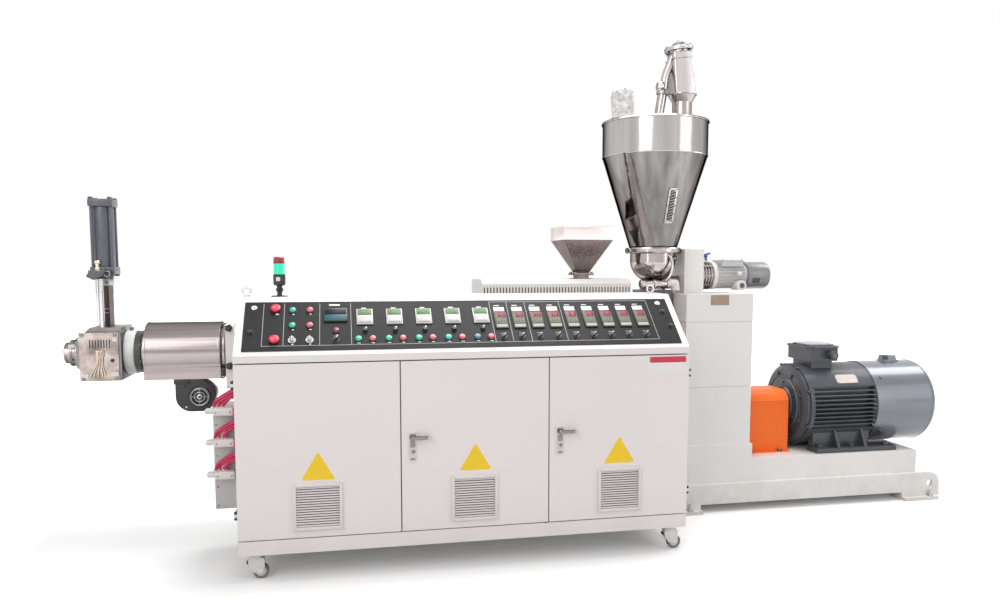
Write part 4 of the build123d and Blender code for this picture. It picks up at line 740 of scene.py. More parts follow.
def build_instruments():
    """Panel meters, temperature controllers and the display, standing for their plain blocks."""
    piece = Piece()
    key_steps = (-21, -7, 7, 21)
    for index, x in enumerate(METER_XS):
        here = SLOPE @ at(x, 0, PANEL_THICK)
        piece.add(box(-40, 40, 186, 290, 0, 8, edge=3), "meter_white", here)
        piece.add(box(-35, 35, 191, 286, 7, 10, edge=1.5), "key_grey", here)
        piece.add(box(-33, 33, 193, 241, 9, 11, edge=0.8), "meter_pale", here)
        piece.add(box(-33, 33, 244, 284, 9, 11, edge=0.8), "meter_green", here)
        piece.add(digits("50" + str(2 * index), 20), "digit_dark", here @ at(-18, 254, 10.8))
        for row in (203, 214, 226):
            piece.add(box(-28, 28, row, row + 2, 10.5, 11.4, edge=0), "key_grey", here)
        piece.add(box(-5, 5, 195, 200, 10.5, 12.5, edge=0.8), "key_grey",
                  *[here @ at(step, 0, 0) for step in key_steps])
    for index, x in enumerate(CONTROLLER_XS):
        here = SLOPE @ at(x, 0, PANEL_THICK)
        piece.add(box(-28, 28, 267, 297, 0, 2, edge=0.5), "print_white", here)
        piece.add(box(-33, 33, 144, 258, 0, 7, edge=2), "plastic_dark", here)
        piece.add(box(-30, 30, 147, 255, 6, 9, edge=1), "key_olive", here)
        piece.add(box(-12, 26, 219, 252, 8.4, 9.4, edge=0.3), "window_red", here)
        piece.add(digits("1" + str(60 + 5 * index), 13), "digit_red", here @ at(-8, 237, 9.2))
        piece.add(digits("1" + str(65 + 5 * (index % 4)), 10), "digit_red", here @ at(-4, 223, 9.2))
        piece.add(box(-28, 28, 148, 168, 8.4, 9.6, edge=0.4), "key_grey", here)
        piece.add(box(-4, 4, 0, 34, 8.4, 9.8, edge=0.8), "key_dark",
                  *[here @ at(step, 175, 0) for step in key_steps])
        piece.add(box(-3, 3, 0, 4, 8.4, 9.6, edge=0.4), "digit_red",
                  *[here @ at(-22, row, 0) for row in (224, 234, 244)])
    here = SLOPE @ at(DISPLAY_X - 1.5, 0, PANEL_THICK)
    piece.add(box(-57, 57, 206, 297, 0, 8, edge=2), "plastic_black", here)
    piece.add(box(-52, 52, 212, 250, 7, 9, edge=0.6), "screen_teal", here)
    piece.add(box(-52, 52, 254, 290, 7, 9, edge=0.6), "screen_dark", here)
    piece.done("panel_meters", "machine", "instrument_grey", "panel_instruments")


def build_controls():
    """Push buttons, stop mushrooms, selectors and knobs, standing for their plain rods."""
    piece = Piece()

    def spot(x, row):
        return SLOPE @ at(x, row, PANEL_THICK)

    collar = ((0, 0), (19, 0), (19, 3), (17, 5), (15, 5), (15, 3), (0, 3))
    cap = ((0, 14), (8, 14), (13.5, 12.5), (16, 9), (16, 3), (0, 3))
    mushroom = ((0, 17), (8, 17), (9, 19), (15, 20), (21, 18.5), (24, 15), (23, 11), (14, 8), (14, 3),
                (18, 3), (18, 0), (0, 0))
    buttons = [(finish, x, row) for finish, x in zip(("button_green", "button_rose"), SWITCH_XS)
               for row in (ROW_MIDDLE, ROW_HIGH)]
    buttons += [("button_dim", DISPLAY_X, ROW_KNOB)]
    for index, x in enumerate(METER_XS):
        buttons += [("button_blue" if index == 4 else "button_green", x - 34, ROW_LOW),
                    ("button_rose", x + 34, ROW_LOW)]
    for finish, x, row in buttons:
        piece.add(turned(collar, 28), "plastic_black", spot(x, row))
        piece.add(turned(cap, 28), finish, spot(x, row))
        piece.add(box(-5, 5, -27, -22, 0, 1.2, edge=0.4), "print_white", spot(x + 4, row))
    for row in (ROW_LOW, ROW_STOP):
        piece.add(turned(mushroom, 32), "button_red", spot(STOP_X, row))
        piece.add(turned(((0, 21), (7, 21), (9, 19), (0, 19)), 24), "button_rose", spot(STOP_X, row))
    piece.add(box(-6, 6, -31, -26, 0, 1.2, edge=0.4), "print_white", spot(STOP_X + 8, ROW_STOP))
    selectors = [(x, "zinc", "key_grey", 0) for x in SWITCH_XS]
    selectors += [(x, "plastic_dark", "plastic_black", 35) for x in (DISPLAY_X, *CONTROLLER_XS)]
    for x, foot_finish, finish, angle in selectors:
        piece.add(turned(collar, 28), foot_finish, spot(x, ROW_LOW))
        piece.add(turned(((0, 7), (12, 7), (15, 5), (15, 3), (0, 3)), 28), finish, spot(x, ROW_LOW))
        lever = spot(x, ROW_LOW) @ turn(-angle, "Z")
        piece.add(box(-5, 5, -17, 17, 5, 17, edge=2.5), finish, lever)
        piece.add(box(-1.5, 1.5, 2, 16, 16.6, 17.6, edge=0.3), "print_white", lever)
        piece.add(box(-12, 12, -1.5, 1.5, 0, 1, edge=0.3), "print_grey", spot(x - 2, ROW_LOW + 24))
    for x in METER_XS:
        piece.add(turned(((0, 16), (9, 16), (11.5, 14), (12, 4), (14, 3), (14, 0), (0, 0)), 24),
                  "plastic_black", spot(x, ROW_KNOB))
        piece.add(rod(4.5, 2.5, 0.8, 16), "print_white", spot(x, ROW_KNOB) @ at(4, 8, 15))
    for x, row in ((-2046, 309), (41, 314)):
        piece.add(turned(((0, 4), (5, 4), (5, 5), (12, 5), (15, 3), (15, 0), (0, 0)), 28), "zinc",
                  spot(x, row))
        piece.add(box(-1.5, 1.5, -6, 6, 3.6, 4.6, edge=0), "plastic_black", spot(x, row))
    for x, row in ((-2057, 147), (52, 253), (66, 149)):
        piece.add(turned(((0, 12), (10, 12), (13, 9), (13, 2), (16, 0), (0, 0)), 28), "plastic_black",
                  spot(x, row))
    piece.done("panel_buttons", "machine", "button_plastic", "panel_controls")


def build_vents():
    """Snap-in louvre grilles over the slots of the three doors, with a dark sheet of painted shade behind
    the slats.
    """
    sizes = bpy.context.scene.extruder_sizes
    for door, x in zip(DOORS, VENT_XS):
        piece = Piece()
        here = at(x, CONSOLE_FRONT, VENT_Z) @ FRONT
        for side in (-1, 1):
            piece.add(box(-7, 7, -113.5, 113.5, -1, 14, edge=3), "vent_plastic", here @ at(side * 108, 0, 0))
            piece.add(box(-108, 108, -8, 8, -1, 14, edge=3), "vent_plastic", here @ at(0, side * 105.5, 0))
        count = sizes.vent_slats
        pitch = 196.0 / count
        slats = [here @ at(0, -98 + pitch * (index + 0.5), 6) @ turn(-38, "X") for index in range(count)]
        piece.add(box(-104, 104, -pitch * 0.34, pitch * 0.34, -1, 1, edge=0.5, segments=1),
                  "vent_plastic", *slats)
        # A dark sheet behind the slats: painted shade in the gaps between them.
        piece.add(box(-104, 104, -99, 99, -1, 0.5, edge=0), "vent_mesh", here)
        piece.done(door + "_vent", door, "console_white")


def build_door_plates():
    """Plain yellow triangles on the doors and the bare plate at the top of the right door."""
    for door, (x, low, width, height) in zip(DOORS, TRIANGLES):
        piece = Piece()
        half = width / 2
        outline = arc(-half + 8, 6, 6, 150, 270, 4) + arc(half - 8, 6, 6, -90, 30, 4)
        outline += arc(0, height - 10, 6, 30, 150, 4)
        piece.add(plate(outline, 1.6, edge=0.5, segments=1), "sign_yellow",
                  at(x, CONSOLE_FRONT, low) @ FRONT @ at(0, 0, -0.3))
        piece.done(door + "_plate", door, "console_white")
    piece = Piece()
    here = at(11, CONSOLE_FRONT, 994) @ FRONT
    piece.add(plate(slab(196, 76, 3), 1.0), "print_white", here @ at(0, 0, -0.2))
    piece.add(plate(slab(196, 30, 3), 1.5), "label_red", here @ at(0, 23, -0.2))
    piece.done("right_door_label", "right_door", "console_white")


def build_latches():
    """Shaped latch levers, standing for the plain ones, and the lock on each latch plate."""
    for which, left in LATCH_PLATES:
        spindle_x = left + 16
        lever = Piece()
        here = at(spindle_x, -916.3, 668) @ FRONT
        lever.add(turned(((0, 30), (10, 30), (12, 27), (12, 2), (9, 0), (6, 0), (6, -9.7), (0, -9.7)), 28),
                  "latch_steel", here)
        outline = arc(0, 0, 10, 90, 270, 8) + arc(84, 0, 8, -90, 90, 8)
        lever.add(plate(outline, 12, edge=2.5), "latch_steel", here @ at(0, 0, 17))
        tip = arc(84, 0, 8.4, -90, 90, 8) + [(74, 8.4), (74, -8.4)]
        lever.add(plate(tip, 12.6, edge=1.5), "latch_plate", here @ at(0, 0, 16.8))
        lever.done("latch_handle_" + which, which + "_latch", "chrome", "latch_lever_" + which)
        lock = Piece()
        face = at(left + 19, -916, 620) @ FRONT
        lock.add(plate(slab(34, 138, 8), 1.6, edge=0.6, segments=1), "latch_plate", face @ at(0, 0, -0.4))
        lock.add(plate(slab(24, 30, 5), 3, edge=0.8, segments=1), "latch_steel", face @ at(0, 14, 0.8))
        lock.add(turned(((0, 5), (7, 5), (9, 3.5), (9, 0), (0, 0)), 24), "bolt_steel", face @ at(3, -22, 1))
        lock.add(box(-1, 1, -4, 4, 4.6, 5.4, edge=0), "plastic_black", face @ at(3, -22, 1))
        lock.add(box(-11, 11, -2.5, 2.5, 0, 1.6, edge=0.6), "plastic_black", face @ at(0, -58, 1))
        lock.done("latch_lock_" + which, which + "_door", "chrome")


def build_signal_column():
    """The signal lamp: foot, jointed stem, body, lit green lens and red lens."""
    piece = Piece()
    here = at(-1932, TOP_FITTINGS_Y, CONSOLE_TOP)
    piece.add(turned(((0, 0), (42, 0), (42, 3), (39, 5), (15, 6), (13, 9), (13, 26), (17, 29), (19, 35),
                      (17, 41), (13, 44), (13, 52), (22, 56), (29, 59), (30, 62), (30, 109), (28, 112),
                      (0, 112)), 32), "plastic_black", here)
    piece.add(box(-9, 9, -12, 12, -20, -12, edge=3), "plastic_black", here @ at(0, 0, 35))
    piece.add(plate(slab(20, 20, 3), 1), "print_white", here @ at(-4, -29.8, 88) @ FRONT)
    ribs = [(26.5 + 1.2 * (index % 2), 112 + 3.5 * index) for index in range(17)]
    piece.add(turned([(0, 112)] + ribs + [(0, 168)], 32), "lens_green", here)
    piece.add(ring(27.5, 1.6, 32, 8), "plastic_black", here @ at(0, 0, 168))
    ribs = [(26.5 + 1.2 * (index % 2), 169 + 3.2 * index) for index in range(9)]
    piece.add(turned([(0, 168)] + ribs + [(24, 197), (14, 199.5), (0, 200)], 32), "lens_red", here)
    piece.done("signal_lamp", "machine", "lamp_plastic", "signal_tower")


def build_casters():
    """Swivel forks with a rounded cover and their wheels, standing for the plain ones."""
    cheek = [(-30, 104), (-32, 86), (-26, 62), (-8, 36), (12, 24), (32, 24), (40, 34), (40, 46), (46, 62),
             (44, 90), (40, 104)]
    crown = [(-30, 104), (-32, 86), (-30, 76), (-12, 80), (6, 84), (28, 82), (44, 86), (40, 104)]
    tyre = ((24, -10), (27, -13), (33, -14), (35.5, -12), (35.5, 12), (33, 14), (27, 13), (24, 10),
            (24, -10))
    hub = ((6.05, -14), (12, -14), (14, -11), (22, -9), (24.5, -11), (24.5, 11), (22, 9), (14, 11),
           (12, 14), (6.05, 14), (6.05, -14))
    tread = ((35, -11), (36.4, -10), (37, -5), (37, 5), (36.4, 10), (35, 11), (35, -11))
    for number, (x, y) in enumerate(CASTERS, 1):
        fork = Piece()
        fork.add(turned(((0, 154), (8, 154), (8, 128), (34, 127.7), (36, 124), (36, 119), (30, 115),
                         (32, 111), (32, 104), (0, 104)), 32), "caster_white", at(x, y, 0))
        for side in (-1, 1):
            fork.add(plate(cheek, 6, edge=2), "caster_white", at(x, y + side * 18.5 + 3, 0) @ FRONT)
        fork.add(plate(crown, 36, edge=3), "caster_white", at(x, y + 18, 0) @ FRONT)
        fork.add(box(-40, -26, -15, 15, 74, 88, edge=4), "tread_black", at(x, y, 0))
        fork.add(rod(6, 42, 1, 20), "bolt_steel", at(x + 26, y + 21, 37) @ FRONT)
        fork.add(rod(12, 4, 1.5, 24), "caster_white", at(x + 26, y - 20.6, 37) @ FRONT,
                 at(x + 26, y + 20.6, 37) @ turn(-90, "X"))
        fork.done(f"caster_{number}_fork", f"caster_{number}", "caster_zinc", f"caster_fork_{number}")
        wheel = Piece()
        middle = at(x + 26, y, 37) @ FRONT
        wheel.add(turned(hub, 40), "caster_white", middle)
        wheel.add(turned(tyre, 40), "tyre_grey", middle)
        wheel.add(turned(tread, 40), "tread_black", middle)
        wheel.done(f"caster_{number}_wheel", f"wheel_{number}", "wheel_rubber", f"caster_wheel_{number}")


def build_wiring():
    """Plug hoods, the wiring box's lid and the crimson heater cables in their bundles."""
    hoods = Piece()
    for z in HOOD_ZS:
        hoods.add(box(-2262, -2168, -622, -560, z - 20, z + 20, edge=7, segments=3), "hood_white")
        hoods.add(box(-2304, -2250, -614, -568, z - 10, z + 16, edge=9, segments=3), "hood_white")
        hoods.add(box(-2256, -2176, -624, -618, z - 14, z + 14, edge=2), "hood_white")
        hoods.add(box(-2172, -2150, -618, -564, z - 17, z + 17, edge=6), "cable_crimson")
        hoods.add(turned(((0, -2), (11, -2), (11, 8), (9, 12), (0, 12)), 20), "hood_white",
                  *[at(x, CABLE_Y, z + 19) for x in CABLE_XS])
        hoods.add(rod(3.5, 4, 0.8, 14), "bolt_steel",
                  *[at(x, -624, z) @ FRONT for x in (-2250, -2182)])
    hoods.done("cable_hoods", "machine", "hood_white", "plug_hoods")
    lid = Piece()
    lid.add(box(-2268, -2130, -564, -558, 268, 781, edge=2), "box_grey")
    lid.add(rod(5, 3, 0.8, 16), "bolt_steel",
            *[at(x, -564, z) @ FRONT for x in (-2258, -2140) for z in (282, 380, 540, 700)])
    lid.done("wiring_box_lid", "machine", "light_grey")
    cables = Piece()
    for z in HOOD_ZS:
        for index, x in enumerate(CABLE_XS):
            start, end = z + 24, z + 62 + 18 * (3 - index)
            for aside, lower in ((-7, 0), (7, -3), (0, 9)):
                y = CABLE_Y + aside
                run = [(x, y, start), (x - 1, y, start + 26 - 3 * index), (x + 34, y, start + 44 + lower),
                       (-2160, y, end + lower - 10), (-2126, y, end + lower)]
                cables.add(pipe(run, 6.2, 3), "cable_crimson")
            sleeve = [(x + 1, CABLE_Y, start), (x + 2, CABLE_Y, start + 24 - 3 * index),
                      (x + 30, CABLE_Y, start + 40)]
            cables.add(pipe(sleeve, 9.5, 3), "hood_white" if index == 1 and z < 700 else "cable_crimson")
    for aside in (0, 12, 24):
        cables.add(pipe([(-2138 - aside * 0.5, -585 - aside, 452), (-2134, -590 - aside, 600),
                         (-2140, -588 - aside, 720), (-2132, -586 - aside, 860)], 6), "cable_crimson")
    cables.done("heater_leads", "machine", "cable_crimson", "heater_cables")


# Barrel and die head pieces


def build_barrel_trim():
    """Bands, seams and clip of the barrel covers, a dark sheet of painted shade behind the vented cover's
    side slots, the end plate's knobs.
    """
    bands = Piece()
    band = ((161, -5), (163.5, -4), (164, 0), (163.5, 4), (161, 5))
    for left, right in COVER_SPANS:
        bands.add(turned(band, 72), "barrel_cover_steel",
                  *[at(x, 0, BARREL_Z) @ RIGHTWARD for x in (left + 7, right - 7)])
        for side in (-1, 1):
            bands.add(box(left + 1, right - 1, -3, 3, 0, 2.5, edge=0.8), "weld_steel",
                      at(0, side * 150, 944) @ turn(-90 * side, "X") @ at(0, 0, -1))
    end_ring = ((RING_HOLE, 0), (150, 0), (154, 3), (154, 14), (150, 17), (RING_HOLE, 17))
    bands.add(turned(end_ring, 64), "barrel_cover_steel", at(-2278, 0, BARREL_Z) @ RIGHTWARD)
    bands.add(box(-2283, -2262, -150, -122, 888, 934, edge=5), "cast_grey")
    bands.add(rod(9, 8, 1.5, 20), "plastic_black", *[at(-2272, -150, z) @ FRONT for z in (900, 922)])
    bands.done("cover_bands", "machine", "stainless")
    # A dark sheet behind the vented cover's side slots: painted shade.
    slot_shade = Piece()
    for side in (-1, 1):
        slot_shade.add(box(-820, 67, side * 184 - 1, side * 184 + 1, 1325, 1377, edge=0), "vent_mesh")
    slot_shade.done("cover_slot_shade", "machine", "cover_cream")
    knobs = Piece()
    star = []
    for lobe in range(5):
        angle = 72 * lobe
        star += arc(12 * cos(radians(angle)), 12 * sin(radians(angle)), 9, angle - 62, angle + 62, 4)
    for z in (1158, 950):
        for side in (-1, 1):
            face = at(-2232, side * 170, z) @ turn(-90 * side, "X")
            knobs.add(rod(6, 20, 1, 16), "bolt_steel", face)
            knobs.add(plate(star, 18, edge=2.5), "plastic_black", face @ at(0, 0, 12))
    knobs.done("end_plate_knobs", "machine", "machine_white")


def build_blowers():
    """Blowers with a snail housing, an inlet ring with guard wires and a silver hub."""
    piece = Piece()
    snail = [(-128, 97), (-128, 0)] + arc(-45, 0, 83, 180, 270, 9)[1:]
    snail += [(18, -83), (42, -77), (60, -58), (76, -26), (88, 18), (80, 42), (60, 66), (36, 84), (18, 97)]
    inlet = ((44, 0), (44, 9), (47, 12), (51, 12), (56, 4), (60, 0))
    for x in BLOWER_XS:
        here = at(x, -60, 780) @ FRONT
        piece.add(plate(snail, 90, edge=6, segments=3), "blower_black", here)
        piece.add(box(-134, -48, 70, 98, -2, 94, edge=3), "blower_black", here)
        face = here @ at(0, 0, 90)
        piece.add(turned(inlet, 44), "blower_black", face)
        for radius, finish in ((26, "zinc"), (45, "zinc"), (50, "weld_steel")):
            piece.add(ring(radius, 1.8, 36, 8), finish, face @ at(0, 0, 11))
        piece.add(box(-1.5, 1.5, -45, 45, 9.4, 11.8, edge=0.5), "weld_steel", face, face @ turn(90, "Z"))
        piece.add(turned(((0, 12), (9, 12), (14, 9), (17, 0), (0, 0)), 28), "zinc", face @ at(0, 0, 3))
        piece.add(turned(((0, 2), (6, 2), (7, 0), (0, 0)), 20), "plastic_black", face @ at(0, 0, 15))
        screws = [face @ at(*spot, 0) for spot in ((-72, -56), (-76, 60), (64, 44), (30, -70))]
        piece.add(hexagon(11, 5), "zinc", screws[0])
        piece.add(hexagon(11, 5), "blower_black", *screws[1:])
    piece.done("cooling_blowers", "machine", "blower_black", "barrel_blowers")


def build_cylinder():
    """The hydraulic cylinder with its caps, tube, tie rods, nuts and port, and the slide's cap."""
    piece = Piece()
    here = at(CHANGER_X, 0, 0)
    for low in (1450, 1815):
        piece.add(box(-62, 62, -62, 62, low, low + 40, edge=5, segments=3), "cylinder_grey", here)
    piece.add(turned(((42, 1488), (52, 1488), (54, 1493), (54, 1812), (52, 1817), (42, 1817)), 48),
              "cylinder_grey", here)
    rods = [here @ place for place in corners(48, 48)]
    piece.add(rod(8, 403, 1.5, 20), "cylinder_grey", *[place @ at(0, 0, 1451) for place in rods])
    piece.add(hexagon(26, 11), "cylinder_grey", *[place @ at(0, 0, 1855) for place in rods],
              *[place @ at(0, 0, 1450) @ turn(180, "X") for place in rods])
    piece.add(turned(((0, 30), (36, 30), (40, 26), (40, 0), (0, 0)), 40), "cylinder_grey",
              here @ at(0, 0, 1421))
    slanted = [(-76, 26), (-70, 20), (-86, -8), (-50, -26), (-8, -6), (12, 18), (12, 24)]
    piece.add(plate(slanted, 80, edge=4), "cylinder_grey", at(CHANGER_X + 14, -30, 1446) @ FRONT)
    port = at(CHANGER_X - 22, -66, 1470)
    piece.add(hexagon(24, 12), "pale_brass", port)
    fitting = ((0, 46), (12, 46), (15, 42), (15, 30), (11, 28), (9, 12), (13, 10), (13, 0), (0, 0))
    piece.add(turned(fitting, 24), "pale_brass", port @ at(0, 0, 8))
    piece.add(rod(7, 22, 1, 20), "pale_brass", port @ at(0, 12, 8) @ FRONT)
    piece.add(turned(((0, 26), (18, 26), (21, 22), (21, 0), (0, 0)), 28), "plastic_black",
              at(CHANGER_X + 30, -62, 1458) @ FRONT)
    piece.add(ring(15, 2, 28, 8), "light_grey", at(CHANGER_X + 30, -90, 1452) @ FRONT)
    piece.done("slide_cylinder", "machine", "cast_grey", "hydraulic_cylinder")
    cap = Piece()
    cap.add(box(-29, 29, -49, 49, 1388, 1426, edge=4), "light_grey", here)
    neck = ((22, 1424), (32, 1424), (34, 1427), (34, 1438), (32, 1440), (22, 1440))
    cap.add(turned(neck, 32), "light_grey", here)
    cap.add(hexagon(18, 6), "bolt_steel", *[here @ at(x, -49, 1406) @ FRONT for x in (-16, 16)])
    cap.add(box(-18, 18, -1.2, 1.2, -0.6, 0.2, edge=0), "zinc",
            *[here @ at(4, -45, z) @ FRONT for z in (1262, 1240)])
    cap.done("slide_cap", "screen_slide", "bare_steel")


def build_nozzle():
    """The stepped nozzle with its flange screws, a bare tag and a plug."""
    nozzle = Piece()
    along = at(NOZZLE_FOOT_X, 0, BARREL_Z) @ LEFTWARD
    steps = ((24, 0), (92, 0), (92, 13), (89, 16), (72, 16), (72, 26), (69, 28), (69, 34), (72, 36),
             (72, 53), (69, 56), (57, 56), (57, 78), (53, 82), (38, 82), (34, 76), (24, 74), (24, 0))
    nozzle.add(turned(steps, 64), "nozzle_steel", along)
    nozzle.add(rod(6.5, 7, 1, 20), "bolt_steel", *[along @ place for place in around(8, 83, 15, 22)])
    tag = at(NOZZLE_FOOT_X - 37, 0, BARREL_Z) @ turn(56, "X") @ at(0, 0, 72.5)
    nozzle.add(plate(slab(34, 24, 2), 1.2), "hood_white", tag)
    plug = at(NOZZLE_FOOT_X - 30, 0, BARREL_Z) @ turn(120, "X") @ at(0, 0, 70)
    nozzle.add(rod(7, 14, 2, 16), "bolt_steel", plug)
    nozzle.done("stepped_nozzle", "machine", "bare_steel", "die_nozzle")


def build_clamp():
    """The split clamp ring with its dark flange, bolts and closing screw."""
    clamp = Piece()
    along = at(CLAMP_X, 0, BARREL_Z) @ RIGHTWARD
    grip = ((RING_HOLE, 0), (118, 0), (122, 4), (122, 51), (118, 55), (RING_HOLE, 55), (RING_HOLE, 0))
    clamp.add(turned(grip, 72), "ring_grey", along)
    flange = ((RING_HOLE, 54), (116, 54), (117, 57), (117, 86), (113, 90), (RING_HOLE, 90),
              (RING_HOLE, 54))
    clamp.add(turned(flange, 72), "plastic_dark", along)
    clamp.add(hexagon(20, 8), "cast_grey", *[along @ place for place in around(8, 111, 84, 22)])
    clamp.add(box(-2776, -2756, -12, 12, 1136, 1161, edge=3), "ring_grey")
    clamp.add(rod(6, 50, 1, 20), "bolt_steel", at(-2766, 25, 1150) @ FRONT)
    clamp.add(hexagon(22, 9), "bolt_steel",
              *[at(-2766, side * 12, 1150) @ turn(-90 * side, "X") for side in (-1, 1)])
    clamp.done("split_clamp", "machine", "cast_grey", "clamp_ring")


def build_changer_fittings():
    """A black plate of painted shade on the changer block's right side, and the cover plate's bolts, tags,
    slotted plate and thin leads.
    """
    fittings = Piece()
    # A black plate on the block's right side: painted shade where that face lies in shadow.
    fittings.add(box(-2795, -2791.5, -144, 144, 884, 1136, edge=1), "blower_black")
    face = at(0, CHANGER_FACE_Y, 0) @ FRONT
    for x, z in ((-2984, 1128), (-2820, 1128), (-2984, 892), (-2820, 892)):
        fittings.add(hexagon(20, 7), "bolt_steel", face @ at(x, z, 0))
    for x, z in ((-2986, 1104), (-2828, 1102), (-2826, 916), (-2976, 908)):
        fittings.add(plate(slab(34, 22, 2), 1.4), "print_white", face @ at(x, z, -0.2))
    middle = CHANGER_X - 4
    slotted = face @ at(middle, 1080, -0.2)
    fittings.add(plate(slab(122, 62, 4), 2.4, edge=0.8, segments=1), "plate_steel", slotted)
    for step in range(8):
        fittings.add(plate(slab(6, 46, 2.8), 3.2), "plastic_black", slotted @ at(14 * step - 49, 0, 0))
    leads = ((-18, 0.0, -52), (-12, 6.0, -34), (-6, 0.0, -12), (2, 5.0, 10), (8, 0.0, 26))
    for offset, lift, foot in leads:
        x = middle + offset
        run = [(x, 1046, 1), (x, 1044, 8 + lift), (x + 6, 1006, 7 + lift), (middle + foot * 0.4, 960, 6),
               (middle + foot, 908, 7), (middle + foot, 900, 1)]
        fittings.add(pipe(run, 2.6, 3), "pale_brass", face)
    fittings.add(plate(slab(34, 36, 4), 4, edge=1), "weld_steel", face @ at(middle + 6, 1028, -0.2))
    knob = ((0, 10), (7, 10), (9, 7), (10, 0), (0, 0))
    fittings.add(turned(knob, 24), "plastic_black", face @ at(middle + 60, 990, 0))
    fittings.done("changer_fittings", "machine", "stainless")


def build_funnel_trim():
    """Lip and rolled rim in a bright steel of painted reflection, flange bolts and clamp of the vent funnel.
    """
    piece = Piece()
    centre = at(FUNNEL_X, 0, 0)
    for quarter in range(4):
        side = centre @ turn(90 * quarter, "Z")
        piece.add(box(-152, 152, -153.4, -151.6, 1650, 1729, edge=0.4), "lip_steel", side)
        piece.add(rod(3, 304, 1, 12), "lip_steel", side @ at(-152, -151, 1728) @ RIGHTWARD)
    piece.add(plate(slab(128, 128, 6), 5, edge=1.5), "funnel_steel", centre @ at(0, 0, 1438))
    piece.add(hexagon(16, 7), "bolt_steel", *[centre @ at(0, 0, 1452) @ place for place in corners(50, 50)])
    piece.add(box(-56, 56, -56, 56, 0, 4, edge=1.5), "funnel_steel", centre @ at(0, 0, 1416.5))
    piece.done("funnel_trim", "machine", "stainless")


def build_hopper_trim():
    """Rim in a lighter steel of painted reflection, shoulder bead, clamp band with its knob, sight strip,
    and the pipes and elbow below.
    """
    piece = Piece()
    centre = at(HOPPER_X, 0, 0)
    # A sleeve over the hopper's upright wall in the lighter steel: painted reflection.
    piece.add(turned(((319, 2158), (320.8, 2160), (320.8, 2361), (319, 2363)), 96), "rim_steel", centre)
    piece.add(ring(323, 5, 96, 10), "rim_steel", centre @ at(0, 0, 2362))
    piece.add(ring(320, 3, 96, 8), "chrome", centre @ at(0, 0, 2159))
    piece.add(turned(((144, 1570), (166, 1572), (172, 1580), (172, 1598), (166, 1606), (144, 1608)), 72),
              "stainless_upright", centre)
    lean = at(HOPPER_X, 0, 1852) @ turn(4.5, "Z") @ at(0, -226, 0) @ FRONT @ turn(17.5, "X")
    piece.add(plate(slab(58, 216, 6, 4), 9, edge=2), "stainless_upright", lean @ at(0, 0, -5))
    piece.add(plate(slab(36, 186, 8, 4), 3, edge=1), "sight_glass", lean @ at(0, 0, 3))
    piece.add(box(-15, 15, -1.6, 1.6, 5.4, 7.4, edge=0.5), "stainless_upright",
              *[lean @ at(0, 17 * step, 0) @ turn(18, "Z") for step in range(-5, 6)])
    piece.add(rod(4, 4, 1, 14), "bolt_steel",
              *[lean @ at(x, y, 3) for x in (-23, 23) for y in (-98, -50, 0, 50, 98)])
    knob = centre @ turn(205, "Z") @ at(166, 0, 1590) @ RIGHTWARD
    piece.add(rod(6, 40, 1, 16), "bolt_steel", knob)
    piece.add(turned(((0, 30), (12, 30), (15, 26), (15, 8), (10, 2), (0, 0)), 28), "stainless_upright",
              knob @ at(0, 0, 20))
    piece.add(pipe([(325, -118, 1580), (354, -140, 1548), (358, -150, 1480), (334, -150, 1418),
                    (300, -148, 1388)], 9), "stainless_upright")
    spool = ((0, 0), (14, 0), (14, 10), (9, 12), (9, 34), (14, 36), (14, 42), (0, 42))
    piece.add(turned(spool, 24), "bolt_steel", at(356, -120, 1540) @ RIGHTWARD)
    level = at(146, -150, 1385) @ RIGHTWARD
    piece.add(rod(21, 198, 2, 32), "bowl_steel", level)
    for step in (14, 96, 182):
        piece.add(turned(((20, -9), (26, -9), (28, -5), (28, 5), (26, 9), (20, 9)), 32), "stainless_upright",
                  level @ at(0, 0, step))
    piece.add(rod(24, 92, 2, 28), "bowl_steel", at(238, -58, 1385) @ FRONT)
    piece.add(pipe([(335, -150, 1388), (372, -150, 1388), (376, -150, 1384), (376, -150, 1346)], 25, 6),
              "hood_white")
    piece.add(ring(25, 3.5, 32, 8), "hood_white", at(342, -150, 1388) @ RIGHTWARD, at(376, -150, 1350))
    piece.done("hopper_fittings", "machine", "stainless")


def build_dust_sock():
    """A thin gathered sock of pale film over its collar."""
    sizes = bpy.context.scene.extruder_sizes
    foot, shoulder, dome = 2378, 2534, 60
    profile = [(SOCK_RADIUS, foot + 5.2 * step) for step in range(31)]
    profile += [(SOCK_RADIUS * cos(radians(climbed)), shoulder + dome * sin(radians(climbed)))
                for climbed in range(6, 90, 6)]
    shape = turned(profile + [(0, shoulder + dome)], 96)
    for vert in shape.verts:
        x, y, z = vert.co
        angle = atan2(y, x)
        share = min(1.0, max(0.0, (z - foot - 8) / 40))
        folds = sin(9 * angle + 1.8 * sin(z / 23.0) + 2.0 * noise.noise(Vector((x, y, z)) / 60.0))
        crumple = noise.noise(Vector((x, y, 0.6 * z)) / 26.0) + 0.5 * noise.noise(Vector((x, y, z)) / 11.0)
        depth = sizes.sock_crumple * 1000 * share * (0.8 * folds + 1.4 * crumple)
        flat = hypot(x, y)
        if flat > 0.1:
            vert.co.x += x / flat * depth * min(1.0, flat / 30)
            vert.co.y += y / flat * depth * min(1.0, flat / 30)
        vert.co.z -= 4 * share * abs(crumple)
    piece = Piece()
    piece.add(shape, "sock_film", at(SOCK_X, 0, 0))
    sock = piece.done("dust_sock", "machine", "filter_cloth", "dust_filter", sharp=80)
    thickness = sock.modifiers.new("Cloth thickness", "SOLIDIFY")
    thickness.thickness = 0.0008
    thickness.offset = -1
    collar = Piece()
    collar.add(turned(((66, 0), (73, 0), (73, 12), (71, 14), (66, 14)), 48), "stainless_upright",
               at(SOCK_X, 0, HOPPER_TOP))
    collar.add(ring(67.5, 2.2, 48, 8), "hood_white", at(SOCK_X, 0, HOPPER_TOP + 20))
    collar.done("sock_collar", "machine", "stainless")


